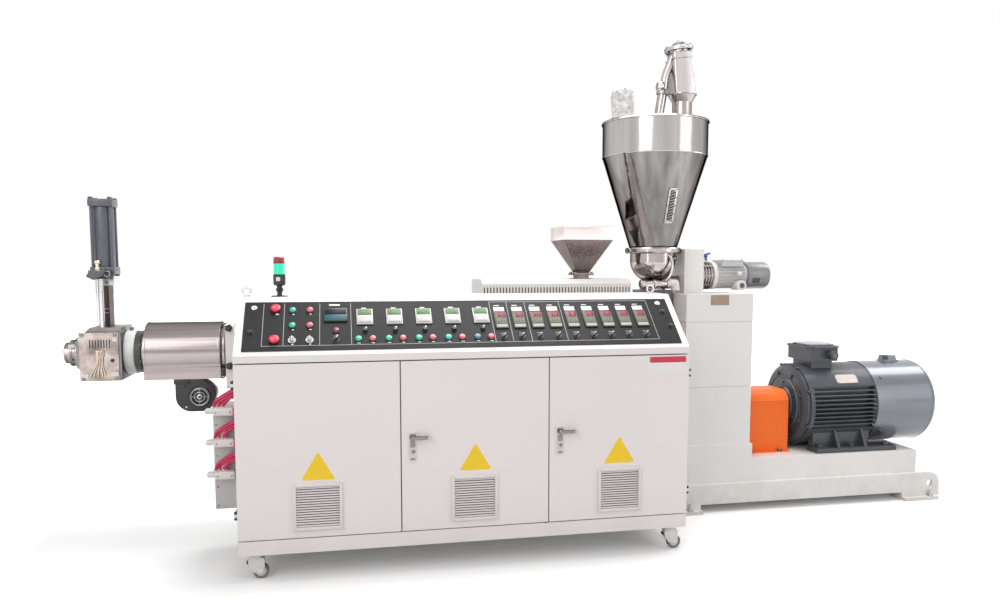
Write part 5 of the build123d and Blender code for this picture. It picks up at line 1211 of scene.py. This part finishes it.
def build_loader():
    """The vacuum loader: neck, clamp rings, tapered body, flanged head with cap, and suction pipe."""
    piece = Piece()
    base = at(LOADER_X, 0, HOPPER_TOP)
    neck = ((0, 0), (78, 0), (78, 8), (62, 10), (60, 16), (60, 128), (64, 134), (84, 170), (88, 172),
            (88, 176), (84, 177), (0, 177))
    piece.add(turned(neck, 48), "stainless_upright", base)
    piece.add(turned(((58, 14), (64, 16), (64, 26), (58, 28)), 48), "plastic_black", base)
    piece.add(rod(5, 12, 1, 12), "bolt_steel", *[base @ place for place in around(8, 70, 4)])
    lean = Matrix.Shear("XY", 4, (-27.0 / 254.0, 0.0))
    body = bmesh.new()
    diagonal = 1.414
    bmesh.ops.create_cone(body, cap_ends=True, cap_tris=False, segments=4, radius1=66 * diagonal,
                          radius2=56 * diagonal, depth=254, matrix=turn(45, "Z"))
    bmesh.ops.translate(body, vec=(0, 0, 127), verts=body.verts)
    bevel(body, [edge for edge in body.edges if climb(edge) > 100], 9, 4)
    piece.add(body, "loader_steel", at(LOADER_X, 0, 2546) @ lean)
    piece.add(box(-64, 64, -64, 64, -3, 3, edge=1.5), "stainless_upright", at(438, 0, 2760) @ turn(-7, "Y"))
    head = at(436, 0, 2798) @ turn(-7, "Y")
    flange = ((0, 0), (66, 0), (66, 10), (84, 12), (86, 15), (86, 30), (84, 34), (50, 36), (0, 38))
    piece.add(turned(flange, 48), "loader_steel", head)
    piece.add(hexagon(15, 40), "bolt_steel", *[head @ place for place in around(8, 76, 3)])
    cap = ((0, 30), (26, 30), (38, 24), (42, 16), (42, 0), (0, 0))
    piece.add(turned(cap, 36), "bolt_steel", head @ at(6, 0, 34))
    button = ((0, 12), (10, 12), (12, 8), (12, 0), (0, 0))
    piece.add(turned(button, 24), "stainless_upright", head @ at(6, 0, 62))
    piece.add(pipe([(307, 0, 2366), (314, 0, 2440), (332, 0, 2540), (340, 0, 2600)], 28, 6), "bowl_steel")
    piece.add(turned(((27, -12), (36, -10), (38, 0), (36, 10), (27, 12)), 32), "stainless_upright",
              at(309, 0, 2386) @ turn(9, "Y"), at(333, 0, 2552) @ turn(9, "Y"))
    drum = ((0, -20), (24, -20), (31, -12), (33, 0), (31, 12), (24, 20), (0, 20))
    piece.add(turned(drum, 32), "loader_steel", at(316, -4, 2592) @ turn(-80, "Y"))
    piece.add(pipe([(340, 0, 2590), (346, 0, 2650), (376, 0, 2720), (404, 0, 2800)], 24, 6), "loader_steel")
    piece.add(box(-12, 12, -52, -30, -16, 16, edge=3), "bolt_steel", at(338, 0, 2556))
    piece.done("loader_body", "machine", "stainless", "vacuum_loader")


def build_feeder():
    """The feeder's gearmotor with its fins, terminal box, boss and cowl."""
    piece = Piece()
    along = at(584, 0, FEEDER_Z) @ RIGHTWARD
    profile = [(0, 0), (70, 0), (70, 6)]
    for index in range(4):
        low = 8 + 18 * index
        profile += [(70, low), (84, low), (86, low + 2), (86, low + 6), (84, low + 8), (70, low + 8)]
    profile += [(70, 84), (0, 84)]
    piece.add(turned(profile, 56), "stainless_upright", along)
    piece.add(box(-7, 7, -5, 5, 6, 82, edge=2), "weld_steel", *[along @ place for place in around(8, 80)])
    piece.add(turned(((0, 84), (84, 84), (86, 87), (86, 107), (84, 110), (0, 110)), 56), "hood_white", along)
    piece.add(turned(((0, 110), (70, 110), (70, 314), (0, 314)), 56), "light_grey", along)
    piece.add(box(0, 14, -1.8, 1.8, 118, 300, edge=0.8, segments=1), "light_grey",
              *[along @ place for place in around(24, 68)])
    cowl = ((0, 314), (82, 314), (86, 318), (86, 450), (80, 466), (66, 473), (58, 474), (0, 474))
    piece.add(turned(cowl, 56), "cowl_grey", along)
    for radius in (18, 32, 46):
        piece.add(ring(radius, 2.2, 36, 8), "bolt_steel", along @ at(0, 0, 474))
    box_foot = at(796, 0, FEEDER_Z)
    piece.add(box(-70, 70, -70, 70, 56, 90, edge=5), "light_grey", box_foot)
    piece.add(box(-73, 73, -73, 73, 86, 98, edge=4), "box_grey", box_foot)
    piece.add(rod(5, 4, 1, 14), "bolt_steel",
              *[box_foot @ at(0, 0, 97) @ place for place in corners(62, 62)])
    boss = ((0, 45), (20, 45), (24, 43), (30, 43), (32, 40), (32, -60), (0, -60))
    piece.add(turned(boss, 36), "hood_white", at(838, -70, 1372) @ FRONT)
    boss_face = at(838, -115, 1372) @ FRONT
    piece.add(turned(((0, 3), (16, 3), (18, 0), (0, 0)), 28), "cast_grey", boss_face)
    piece.add(turned(((0, 5), (7, 5), (8, 0), (0, 0)), 20), "plastic_black", boss_face)
    gland = ((0, 20), (8, 20), (12, 15), (14, 0), (0, 0))
    piece.add(turned(gland, 24), "hood_white", at(826, -96, 1446) @ FRONT)
    nameplate = at(952, 0, FEEDER_Z) @ turn(112, "X") @ at(0, 0, 85.2)
    piece.add(plate(slab(52, 34, 3), 1.5), "plastic_dark", nameplate)
    piece.done("feeder_motor", "machine", "light_grey", "feeder_drive")


def build_feeder_valve():
    """The blue valve beside the feeder and the plate behind it."""
    valve = Piece()
    valve.add(rod(9, 16, 2, 20), "pale_brass", at(584, -78, 1530) @ RIGHTWARD)
    valve.add(turned(((0, 34), (12, 34), (14, 30), (8, 20), (8, 0), (0, 0)), 20), "valve_blue",
              at(606, -78, 1526))
    valve.add(rod(6, 26, 1, 16), "bolt_steel", at(590, -78, 1530) @ RIGHTWARD)
    valve.add(box(-30, 30, -9, 9, 0, 12, edge=5, segments=3), "valve_blue",
              at(608, -78, 1560) @ turn(-14, "Y"))
    valve.add(box(470, 572, -103, -99, 1340, 1586, edge=1.5), "machine_white")
    valve.add(rod(5, 3, 1, 14), "machine_white",
              *[at(x, -103, z) @ FRONT for x in (480, 562) for z in (1352, 1463, 1574)])
    valve.done("feeder_valve", "machine", "machine_white")


# Drive end pieces


def build_tower_trim():
    """Bare nameplate of the gearbox tower and its four pins."""
    piece = Piece()
    face = at(602, -292, 1290) @ FRONT
    piece.add(plate(slab(118, 60, 3), 2, edge=0.6, segments=1), "plate_brown", face @ at(0, 0, -0.3))
    piece.add(rod(3, 2, 0.6, 12), "bolt_steel",
              *[face @ at(0, 0, 1.6) @ place for place in corners(53, 24)])
    piece.done("tower_plate", "machine", "machine_white")


def build_guard_trim():
    """Pressed beads and foot bolts of the coupling guard."""
    piece = Piece()
    for side in (-1, 1):
        for z in (640, 620):
            piece.add(rod(3.2, 326, 1, 14), "guard_orange", at(836, side * 149.6, z) @ RIGHTWARD)
        piece.add(rod(17, 3, 0.6, 24), "bolt_steel", *[at(x, side * 167, 319) for x in (900, 1100)])
        piece.add(hexagon(24, 12), "bolt_steel", *[at(x, side * 167, 322) for x in (900, 1100)])
    piece.done("guard_trim", "machine", "guard_orange")


def build_motor_trim():
    """Bolts, bare nameplate, terminal box lid, gland, saddle and seams of the main motor."""
    piece = Piece()
    axis = at(0, 0, MOTOR_Z)
    face = at(1220, 0, MOTOR_Z) @ LEFTWARD
    piece.add(hexagon(26, 12), "motor_grey", *[face @ place for place in around(8, 205, 0, 22)])
    face = at(1210, 0, MOTOR_Z) @ LEFTWARD
    piece.add(hexagon(16, 8), "motor_grey", *[face @ place for place in around(6, 140)])
    piece.add(ring(188, 3, 72, 8), "motor_grey", face @ at(0, 0, -9))
    piece.add(turned(((38.4, 0), (66, 0), (64, 6), (38.4, 8)), 40), "bolt_steel",
              at(1198, 0, MOTOR_Z) @ LEFTWARD)
    for angle in (20, 65, 115, 160, 200, 340):
        turned_axis = axis @ turn(angle, "X")
        piece.add(box(-20, 20, -15, 15, -8, 8, edge=5), "motor_grey", turned_axis @ at(1270, 0, 258))
        piece.add(hexagon(18, 10), "motor_grey", turned_axis @ at(1248, 0, 262) @ LEFTWARD)
    plate_spot = axis @ turn(47, "X") @ at(1540, 0, 262)
    piece.add(plate(slab(150, 66, 4), 5, edge=1, segments=1), "plate_silver", plate_spot @ at(0, 0, -3))
    piece.add(rod(4, 3, 0.8, 14), "bolt_steel",
              *[plate_spot @ at(0, 0, 1.4) @ place for place in corners(69, 27)])
    pad = axis @ turn(47, "X") @ at(1516, 0, 255)
    piece.add(box(-150, 214, -52, 52, -9, 6.6, edge=6, segments=3), "motor_grey", pad)
    for angle in (47, 128, -47, -128):
        piece.add(hexagon(20, 8), "bolt_steel", axis @ turn(angle, "X") @ at(1786, 0, 265))
    lid = at(TERMINAL_BOX_X, 0, 979)
    for half_x, half_y, cut, thick, edge, foot in ((118, 130, 22, 5, 2, 964), (92, 104, 26, 14, 6, 978)):
        outline = [(cut - half_x, half_y), (-half_x, half_y - cut), (-half_x, cut - half_y),
                   (cut - half_x, -half_y)]
        outline += [(-x, -y) for x, y in outline]
        piece.add(plate(outline, thick, edge=edge), "lid_grey", at(TERMINAL_BOX_X, 0, foot))
    piece.add(hexagon(16, 8), "motor_grey", *[lid @ place for place in corners(100, 62)])
    gland = at(1458, -175, 923) @ FRONT
    piece.add(hexagon(58, 14), "motor_grey", at(1458, -136, 923) @ FRONT)
    collar = ((0, 8), (16, 8), (22, 10), (26, 9), (28, 4), (28, -2), (0, -2))
    piece.add(turned(collar, 32), "motor_grey", gland)
    piece.add(turned(((0, 5), (14, 5), (14, 0), (0, 0)), 28), "cast_grey", gland @ at(0, 0, 5))
    for x in (1340, 1560, 1800):
        for side in (-1, 1):
            piece.add(rod(22, 4, 0.8, 24), "motor_grey", at(x, side * 240, 345))
            piece.add(hexagon(34, 16), "motor_grey", at(x, side * 240, 349))
    saddle = at(1974, 0, MOTOR_Z + 263)
    piece.add(box(-54, 54, -44, 44, -4, 6, edge=3), "motor_cover_grey", saddle)
    piece.add(turned(((0, 30), (16, 30), (18, 27), (18, 0), (0, 0)), 28), "motor_grey",
              saddle @ at(-30, -20, 10))
    piece.add(rod(5, 4, 1, 14), "bolt_steel", *[saddle @ at(x, -30, 5) for x in (-48, 48)])
    piece.add(ring(266.3, 1.5, 96, 8), "motor_cover_grey",
              *[at(x, 0, MOTOR_Z) @ RIGHTWARD for x in (1728, 2124)])
    piece.done("motor_fittings", "machine", "motor_grey")


def build_base_bolts():
    """Anchor bolts of the feet, with their nuts and washers."""
    piece = Piece()
    spots = corners(2066.5, 347) + [at(415, 347, 0), at(415, -347, 0)]
    piece.add(rod(17, 4, 0.8, 24), "zinc", *[spot @ at(0, 0, 22) for spot in spots])
    piece.add(hexagon(27, 14), "zinc", *[spot @ at(0, 0, 26) for spot in spots])
    piece.add(rod(8, 60, 1.5, 20), "zinc", *[spot @ at(0, 0, 2) for spot in spots])
    piece.done("anchor_nuts", "machine", "machine_white")


# Stage, light and camera


def sees_background(tree):
    """One where a ray should find the white background: seen, mirrored or through glass."""
    rays = tree.nodes.new("ShaderNodeLightPath").outputs
    seen = reckon(tree, "MAXIMUM", rays["Is Camera Ray"], rays["Is Glossy Ray"])
    return reckon(tree, "MAXIMUM", seen, rays["Is Transmission Ray"])


def build_floor(look):
    """The plain pale floor, lifted to the background's white and keeping the shadow."""
    shape = bmesh.new()
    bmesh.ops.create_grid(shape, x_segments=1, y_segments=1, size=FLOOR_HALF)
    floor = add_object("floor", as_mesh(shape, "floor"))
    material, tree, shader = new_material("pale floor")
    shader.inputs["Roughness"].default_value = 0.6
    shader.inputs["Specular IOR Level"].default_value = 0.1
    shader.inputs["Emission Color"].default_value = (1, 1, 1, 1)
    seen = sees_background(tree)
    tree.links.new(blend(tree, seen, FLOOR_LIT, FLOOR_SEEN), shader.inputs["Base Color"])
    place = tree.nodes.new("ShaderNodeTexCoord").outputs["Object"]
    distance = wire(tree, "VectorMath", {0: place}, operation="LENGTH").outputs["Value"]
    lift = rescale(tree, distance, *FLOOR_WHITENS, look.floor_lift, 1.0)
    tree.links.new(reckon(tree, "MULTIPLY", seen, lift), shader.inputs["Emission Strength"])
    floor.data.materials.append(material)


def build_world(look):
    """Even light for the surfaces and plain white where the background is seen or mirrored."""
    world = bpy.data.worlds.new("white studio")
    bpy.context.scene.world = world
    world.use_nodes = True
    tree = world.node_tree
    tree.nodes.clear()
    glow = wire(tree, "Background", {"Color": (1, 1, 1, 1), "Strength": look.room_light})
    backdrop = wire(tree, "Background", {"Color": (1, 1, 1, 1), "Strength": 1.0})
    both = wire(tree, "MixShader", {0: sees_background(tree), 1: glow.outputs[0], 2: backdrop.outputs[0]})
    out = tree.nodes.new("ShaderNodeOutputWorld")
    tree.links.new(both.outputs[0], out.inputs["Surface"])


def build_lamps(look):
    """Soft lamps, and long narrow ones that draw bright lines on the steel."""
    for name, spot, target, width, height, power in (
        ("key light", (-5.5, -6.5, 5.5), (-0.5, 0, 0.9), 4.5, 4.5, look.key_power),
        ("fill light", (6.0, -5.5, 3.5), (0.5, 0, 0.9), 4.0, 4.0, look.key_power * 0.35),
        ("top light", (0.0, 0.6, 6.5), (0.0, -0.3, 0.0), 4.0, 4.0, look.top_power),
        ("right top light", (5.0, 0.6, 5.4), (1.8, 0, 0.8), 2.2, 2.2, look.top_power * 0.2),
        ("high strip", (-0.5, -3.2, 5.2), (-0.5, 0, 1.0), 8.0, 0.3, look.strip_power),
        ("eye level strip", (-1.0, -6.3, 2.45), (-1.0, 0, 1.0), 8.0, 0.25, look.strip_power * 0.5),
        ("left upright strip", (-4.6, -4.6, 2.2), (0.0, 0, 1.9), 0.3, 3.6, look.strip_power * 0.5),
        ("right upright strip", (4.4, -4.2, 2.2), (0.3, 0, 1.9), 0.3, 3.6, look.strip_power * 0.5),
    ):
        lamp = bpy.data.lights.new(name, "AREA")
        lamp.shape = "RECTANGLE"
        lamp.energy = power
        lamp.size = width
        lamp.size_y = height
        holder = add_object(name, lamp)
        holder.location = spot
        holder.rotation_euler = (Vector(target) - Vector(spot)).to_track_quat("-Z", "Y").to_euler()


def build_camera():
    """The camera at the photograph's viewing angle."""
    camera = bpy.data.cameras.new("photo view")
    camera.lens = 28.87
    camera.sensor_width = 36.0
    camera.shift_y = 0.036
    camera.clip_end = 100.0
    holder = add_object("photo view", camera)
    holder.location = CAMERA_PLACE
    holder.rotation_euler = (radians(90 - CAMERA_TILT), 0, radians(-CAMERA_TURN))
    bpy.context.scene.camera = holder


def build_stage():
    """Pale floor, white background, soft light and the camera."""
    look = bpy.context.scene.extruder_stage
    build_floor(look)
    build_world(look)
    build_lamps(look)
    build_camera()
    bpy.context.scene.view_settings.view_transform = "Standard"


# The add-on


def tint(name, description, default):
    """A colour that a user would change."""
    return FloatVectorProperty(name=name, description=description, subtype="COLOR", size=3, min=0, max=1,
                               default=default)


class ExtruderColours(bpy.types.PropertyGroup):
    """Colours of the extruder."""

    console_paint: tint("Console paint", "Paint of the console and its doors", (0.80, 0.745, 0.73))
    machine_paint: tint("Machine paint", "Paint of the base and the gearbox tower", (0.79, 0.765, 0.74))
    guard_paint: tint("Guard paint", "Paint of the coupling guard", (0.92, 0.165, 0.018))
    motor_paint: tint("Motor paint", "Paint of the main motor", (0.06, 0.064, 0.075))
    fan_cover_paint: tint("Fan cover paint", "Paint of the motor's fan cover", (0.13, 0.14, 0.165))
    cable_sheath: tint("Cable sheath", "Sheath of the heater cables", (0.55, 0.02, 0.09))


class ExtruderSizes(bpy.types.PropertyGroup):
    """Sizes of the extruder's fittings."""

    vent_slats: IntProperty(name="Vent slats", description="Slats in each door vent", default=16, min=4,
                            max=30)
    sock_crumple: FloatProperty(name="Sock crumple", description="Depth of the folds in the dust sock",
                                default=0.0042, min=0.0, max=0.02, unit="LENGTH")


class ExtruderStage(bpy.types.PropertyGroup):
    """Light of the stage."""

    key_power: FloatProperty(name="Key power", description="Power of the main light", default=165.0,
                             min=0.0, unit="POWER")
    top_power: FloatProperty(name="Top power", description="Power of the overhead light", default=400.0,
                             min=0.0, unit="POWER")
    strip_power: FloatProperty(name="Strip power", description="Power of the high strip light", default=30.0,
                               min=0.0, unit="POWER")
    room_light: FloatProperty(name="Room light", description="Strength of the even light", default=0.5,
                              min=0.0)
    floor_lift: FloatProperty(name="Floor lift", description="Glow that keeps the floor pale", default=0.08,
                              min=0.0)


class EXTRUDER_OT_finishes(bpy.types.Operator):
    """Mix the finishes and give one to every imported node"""

    bl_idname = "extruder.finishes"
    bl_label = "Finishes"

    def execute(self, context):
        mix_all_finishes()
        finish_nodes()
        return {"FINISHED"}


class EXTRUDER_OT_stage(bpy.types.Operator):
    """Set the floor, the light, the background and the camera"""

    bl_idname = "extruder.stage"
    bl_label = "Stage"

    def execute(self, context):
        build_stage()
        return {"FINISHED"}


class EXTRUDER_OT_control_panel(bpy.types.Operator):
    """Build the print, the instruments and the controls of the panel"""

    bl_idname = "extruder.control_panel"
    bl_label = "Control panel"

    def execute(self, context):
        build_panel_print()
        build_instruments()
        build_controls()
        return {"FINISHED"}


class EXTRUDER_OT_door_fittings(bpy.types.Operator):
    """Build the vents, plates and latches of the doors"""

    bl_idname = "extruder.door_fittings"
    bl_label = "Door fittings"

    def execute(self, context):
        build_vents()
        build_door_plates()
        build_latches()
        return {"FINISHED"}


class EXTRUDER_OT_signal_lamp(bpy.types.Operator):
    """Build the signal lamp"""

    bl_idname = "extruder.signal_lamp"
    bl_label = "Signal lamp"

    def execute(self, context):
        build_signal_column()
        return {"FINISHED"}


class EXTRUDER_OT_casters(bpy.types.Operator):
    """Build the casters' forks and wheels"""

    bl_idname = "extruder.casters"
    bl_label = "Casters"

    def execute(self, context):
        build_casters()
        return {"FINISHED"}


class EXTRUDER_OT_wiring(bpy.types.Operator):
    """Build the plug hoods, the wiring box's lid and the heater cables"""

    bl_idname = "extruder.wiring"
    bl_label = "Wiring"

    def execute(self, context):
        build_wiring()
        return {"FINISHED"}


class EXTRUDER_OT_barrel(bpy.types.Operator):
    """Build the trim of the barrel covers and the cooling blowers"""

    bl_idname = "extruder.barrel"
    bl_label = "Barrel"

    def execute(self, context):
        build_barrel_trim()
        build_blowers()
        return {"FINISHED"}


class EXTRUDER_OT_die_head(bpy.types.Operator):
    """Build the hydraulic cylinder, the nozzle, the clamp and the changer's fittings"""

    bl_idname = "extruder.die_head"
    bl_label = "Die head"

    def execute(self, context):
        build_cylinder()
        build_nozzle()
        build_clamp()
        build_changer_fittings()
        return {"FINISHED"}


class EXTRUDER_OT_hopper(bpy.types.Operator):
    """Build the trim of the hopper and the vent funnel, and the dust sock"""

    bl_idname = "extruder.hopper"
    bl_label = "Hopper and funnel"

    def execute(self, context):
        build_funnel_trim()
        build_hopper_trim()
        build_dust_sock()
        return {"FINISHED"}


class EXTRUDER_OT_feeding(bpy.types.Operator):
    """Build the vacuum loader and the feeder's motor and valve"""

    bl_idname = "extruder.feeding"
    bl_label = "Loader and feeder"

    def execute(self, context):
        build_loader()
        build_feeder()
        build_feeder_valve()
        return {"FINISHED"}


class EXTRUDER_OT_drive(bpy.types.Operator):
    """Build the fittings of the tower, the guard, the main motor and the base"""

    bl_idname = "extruder.drive"
    bl_label = "Drive end"

    def execute(self, context):
        build_tower_trim()
        build_guard_trim()
        build_motor_trim()
        build_base_bolts()
        return {"FINISHED"}


OPERATORS = (
    EXTRUDER_OT_finishes,
    EXTRUDER_OT_stage,
    EXTRUDER_OT_control_panel,
    EXTRUDER_OT_door_fittings,
    EXTRUDER_OT_signal_lamp,
    EXTRUDER_OT_casters,
    EXTRUDER_OT_wiring,
    EXTRUDER_OT_barrel,
    EXTRUDER_OT_die_head,
    EXTRUDER_OT_hopper,
    EXTRUDER_OT_feeding,
    EXTRUDER_OT_drive,
)


class EXTRUDER_PT_sidebar(bpy.types.Panel):
    """Lists the pieces of the extruder"""

    bl_idname = "EXTRUDER_PT_sidebar"
    bl_label = "Plastic Extruder"
    bl_space_type = "VIEW_3D"
    bl_region_type = "UI"
    bl_category = "Extruder"

    def draw(self, context):
        layout = self.layout
        for group in (context.scene.extruder_colours, context.scene.extruder_sizes,
                      context.scene.extruder_stage):
            column = layout.column()
            for name in group.__annotations__:
                column.prop(group, name)
        for operator in OPERATORS:
            layout.operator(operator.bl_idname)


GROUPS = (
    (ExtruderColours, "extruder_colours"),
    (ExtruderSizes, "extruder_sizes"),
    (ExtruderStage, "extruder_stage"),
)


def register():
    """Register the classes and their properties."""
    for group, name in GROUPS:
        bpy.utils.register_class(group)
        setattr(bpy.types.Scene, name, PointerProperty(type=group))
    for operator in OPERATORS:
        bpy.utils.register_class(operator)
    bpy.utils.register_class(EXTRUDER_PT_sidebar)


def unregister():
    """Take the classes and their properties out again."""
    bpy.utils.unregister_class(EXTRUDER_PT_sidebar)
    for operator in reversed(OPERATORS):
        bpy.utils.unregister_class(operator)
    for group, name in GROUPS:
        delattr(bpy.types.Scene, name)
        bpy.utils.unregister_class(group)


def main():
    """Build everything in order."""
    register()
    for operator in OPERATORS:
        category, name = operator.bl_idname.split(".")
        getattr(getattr(bpy.ops, category), name)()


if __name__ == "__main__":
    main()
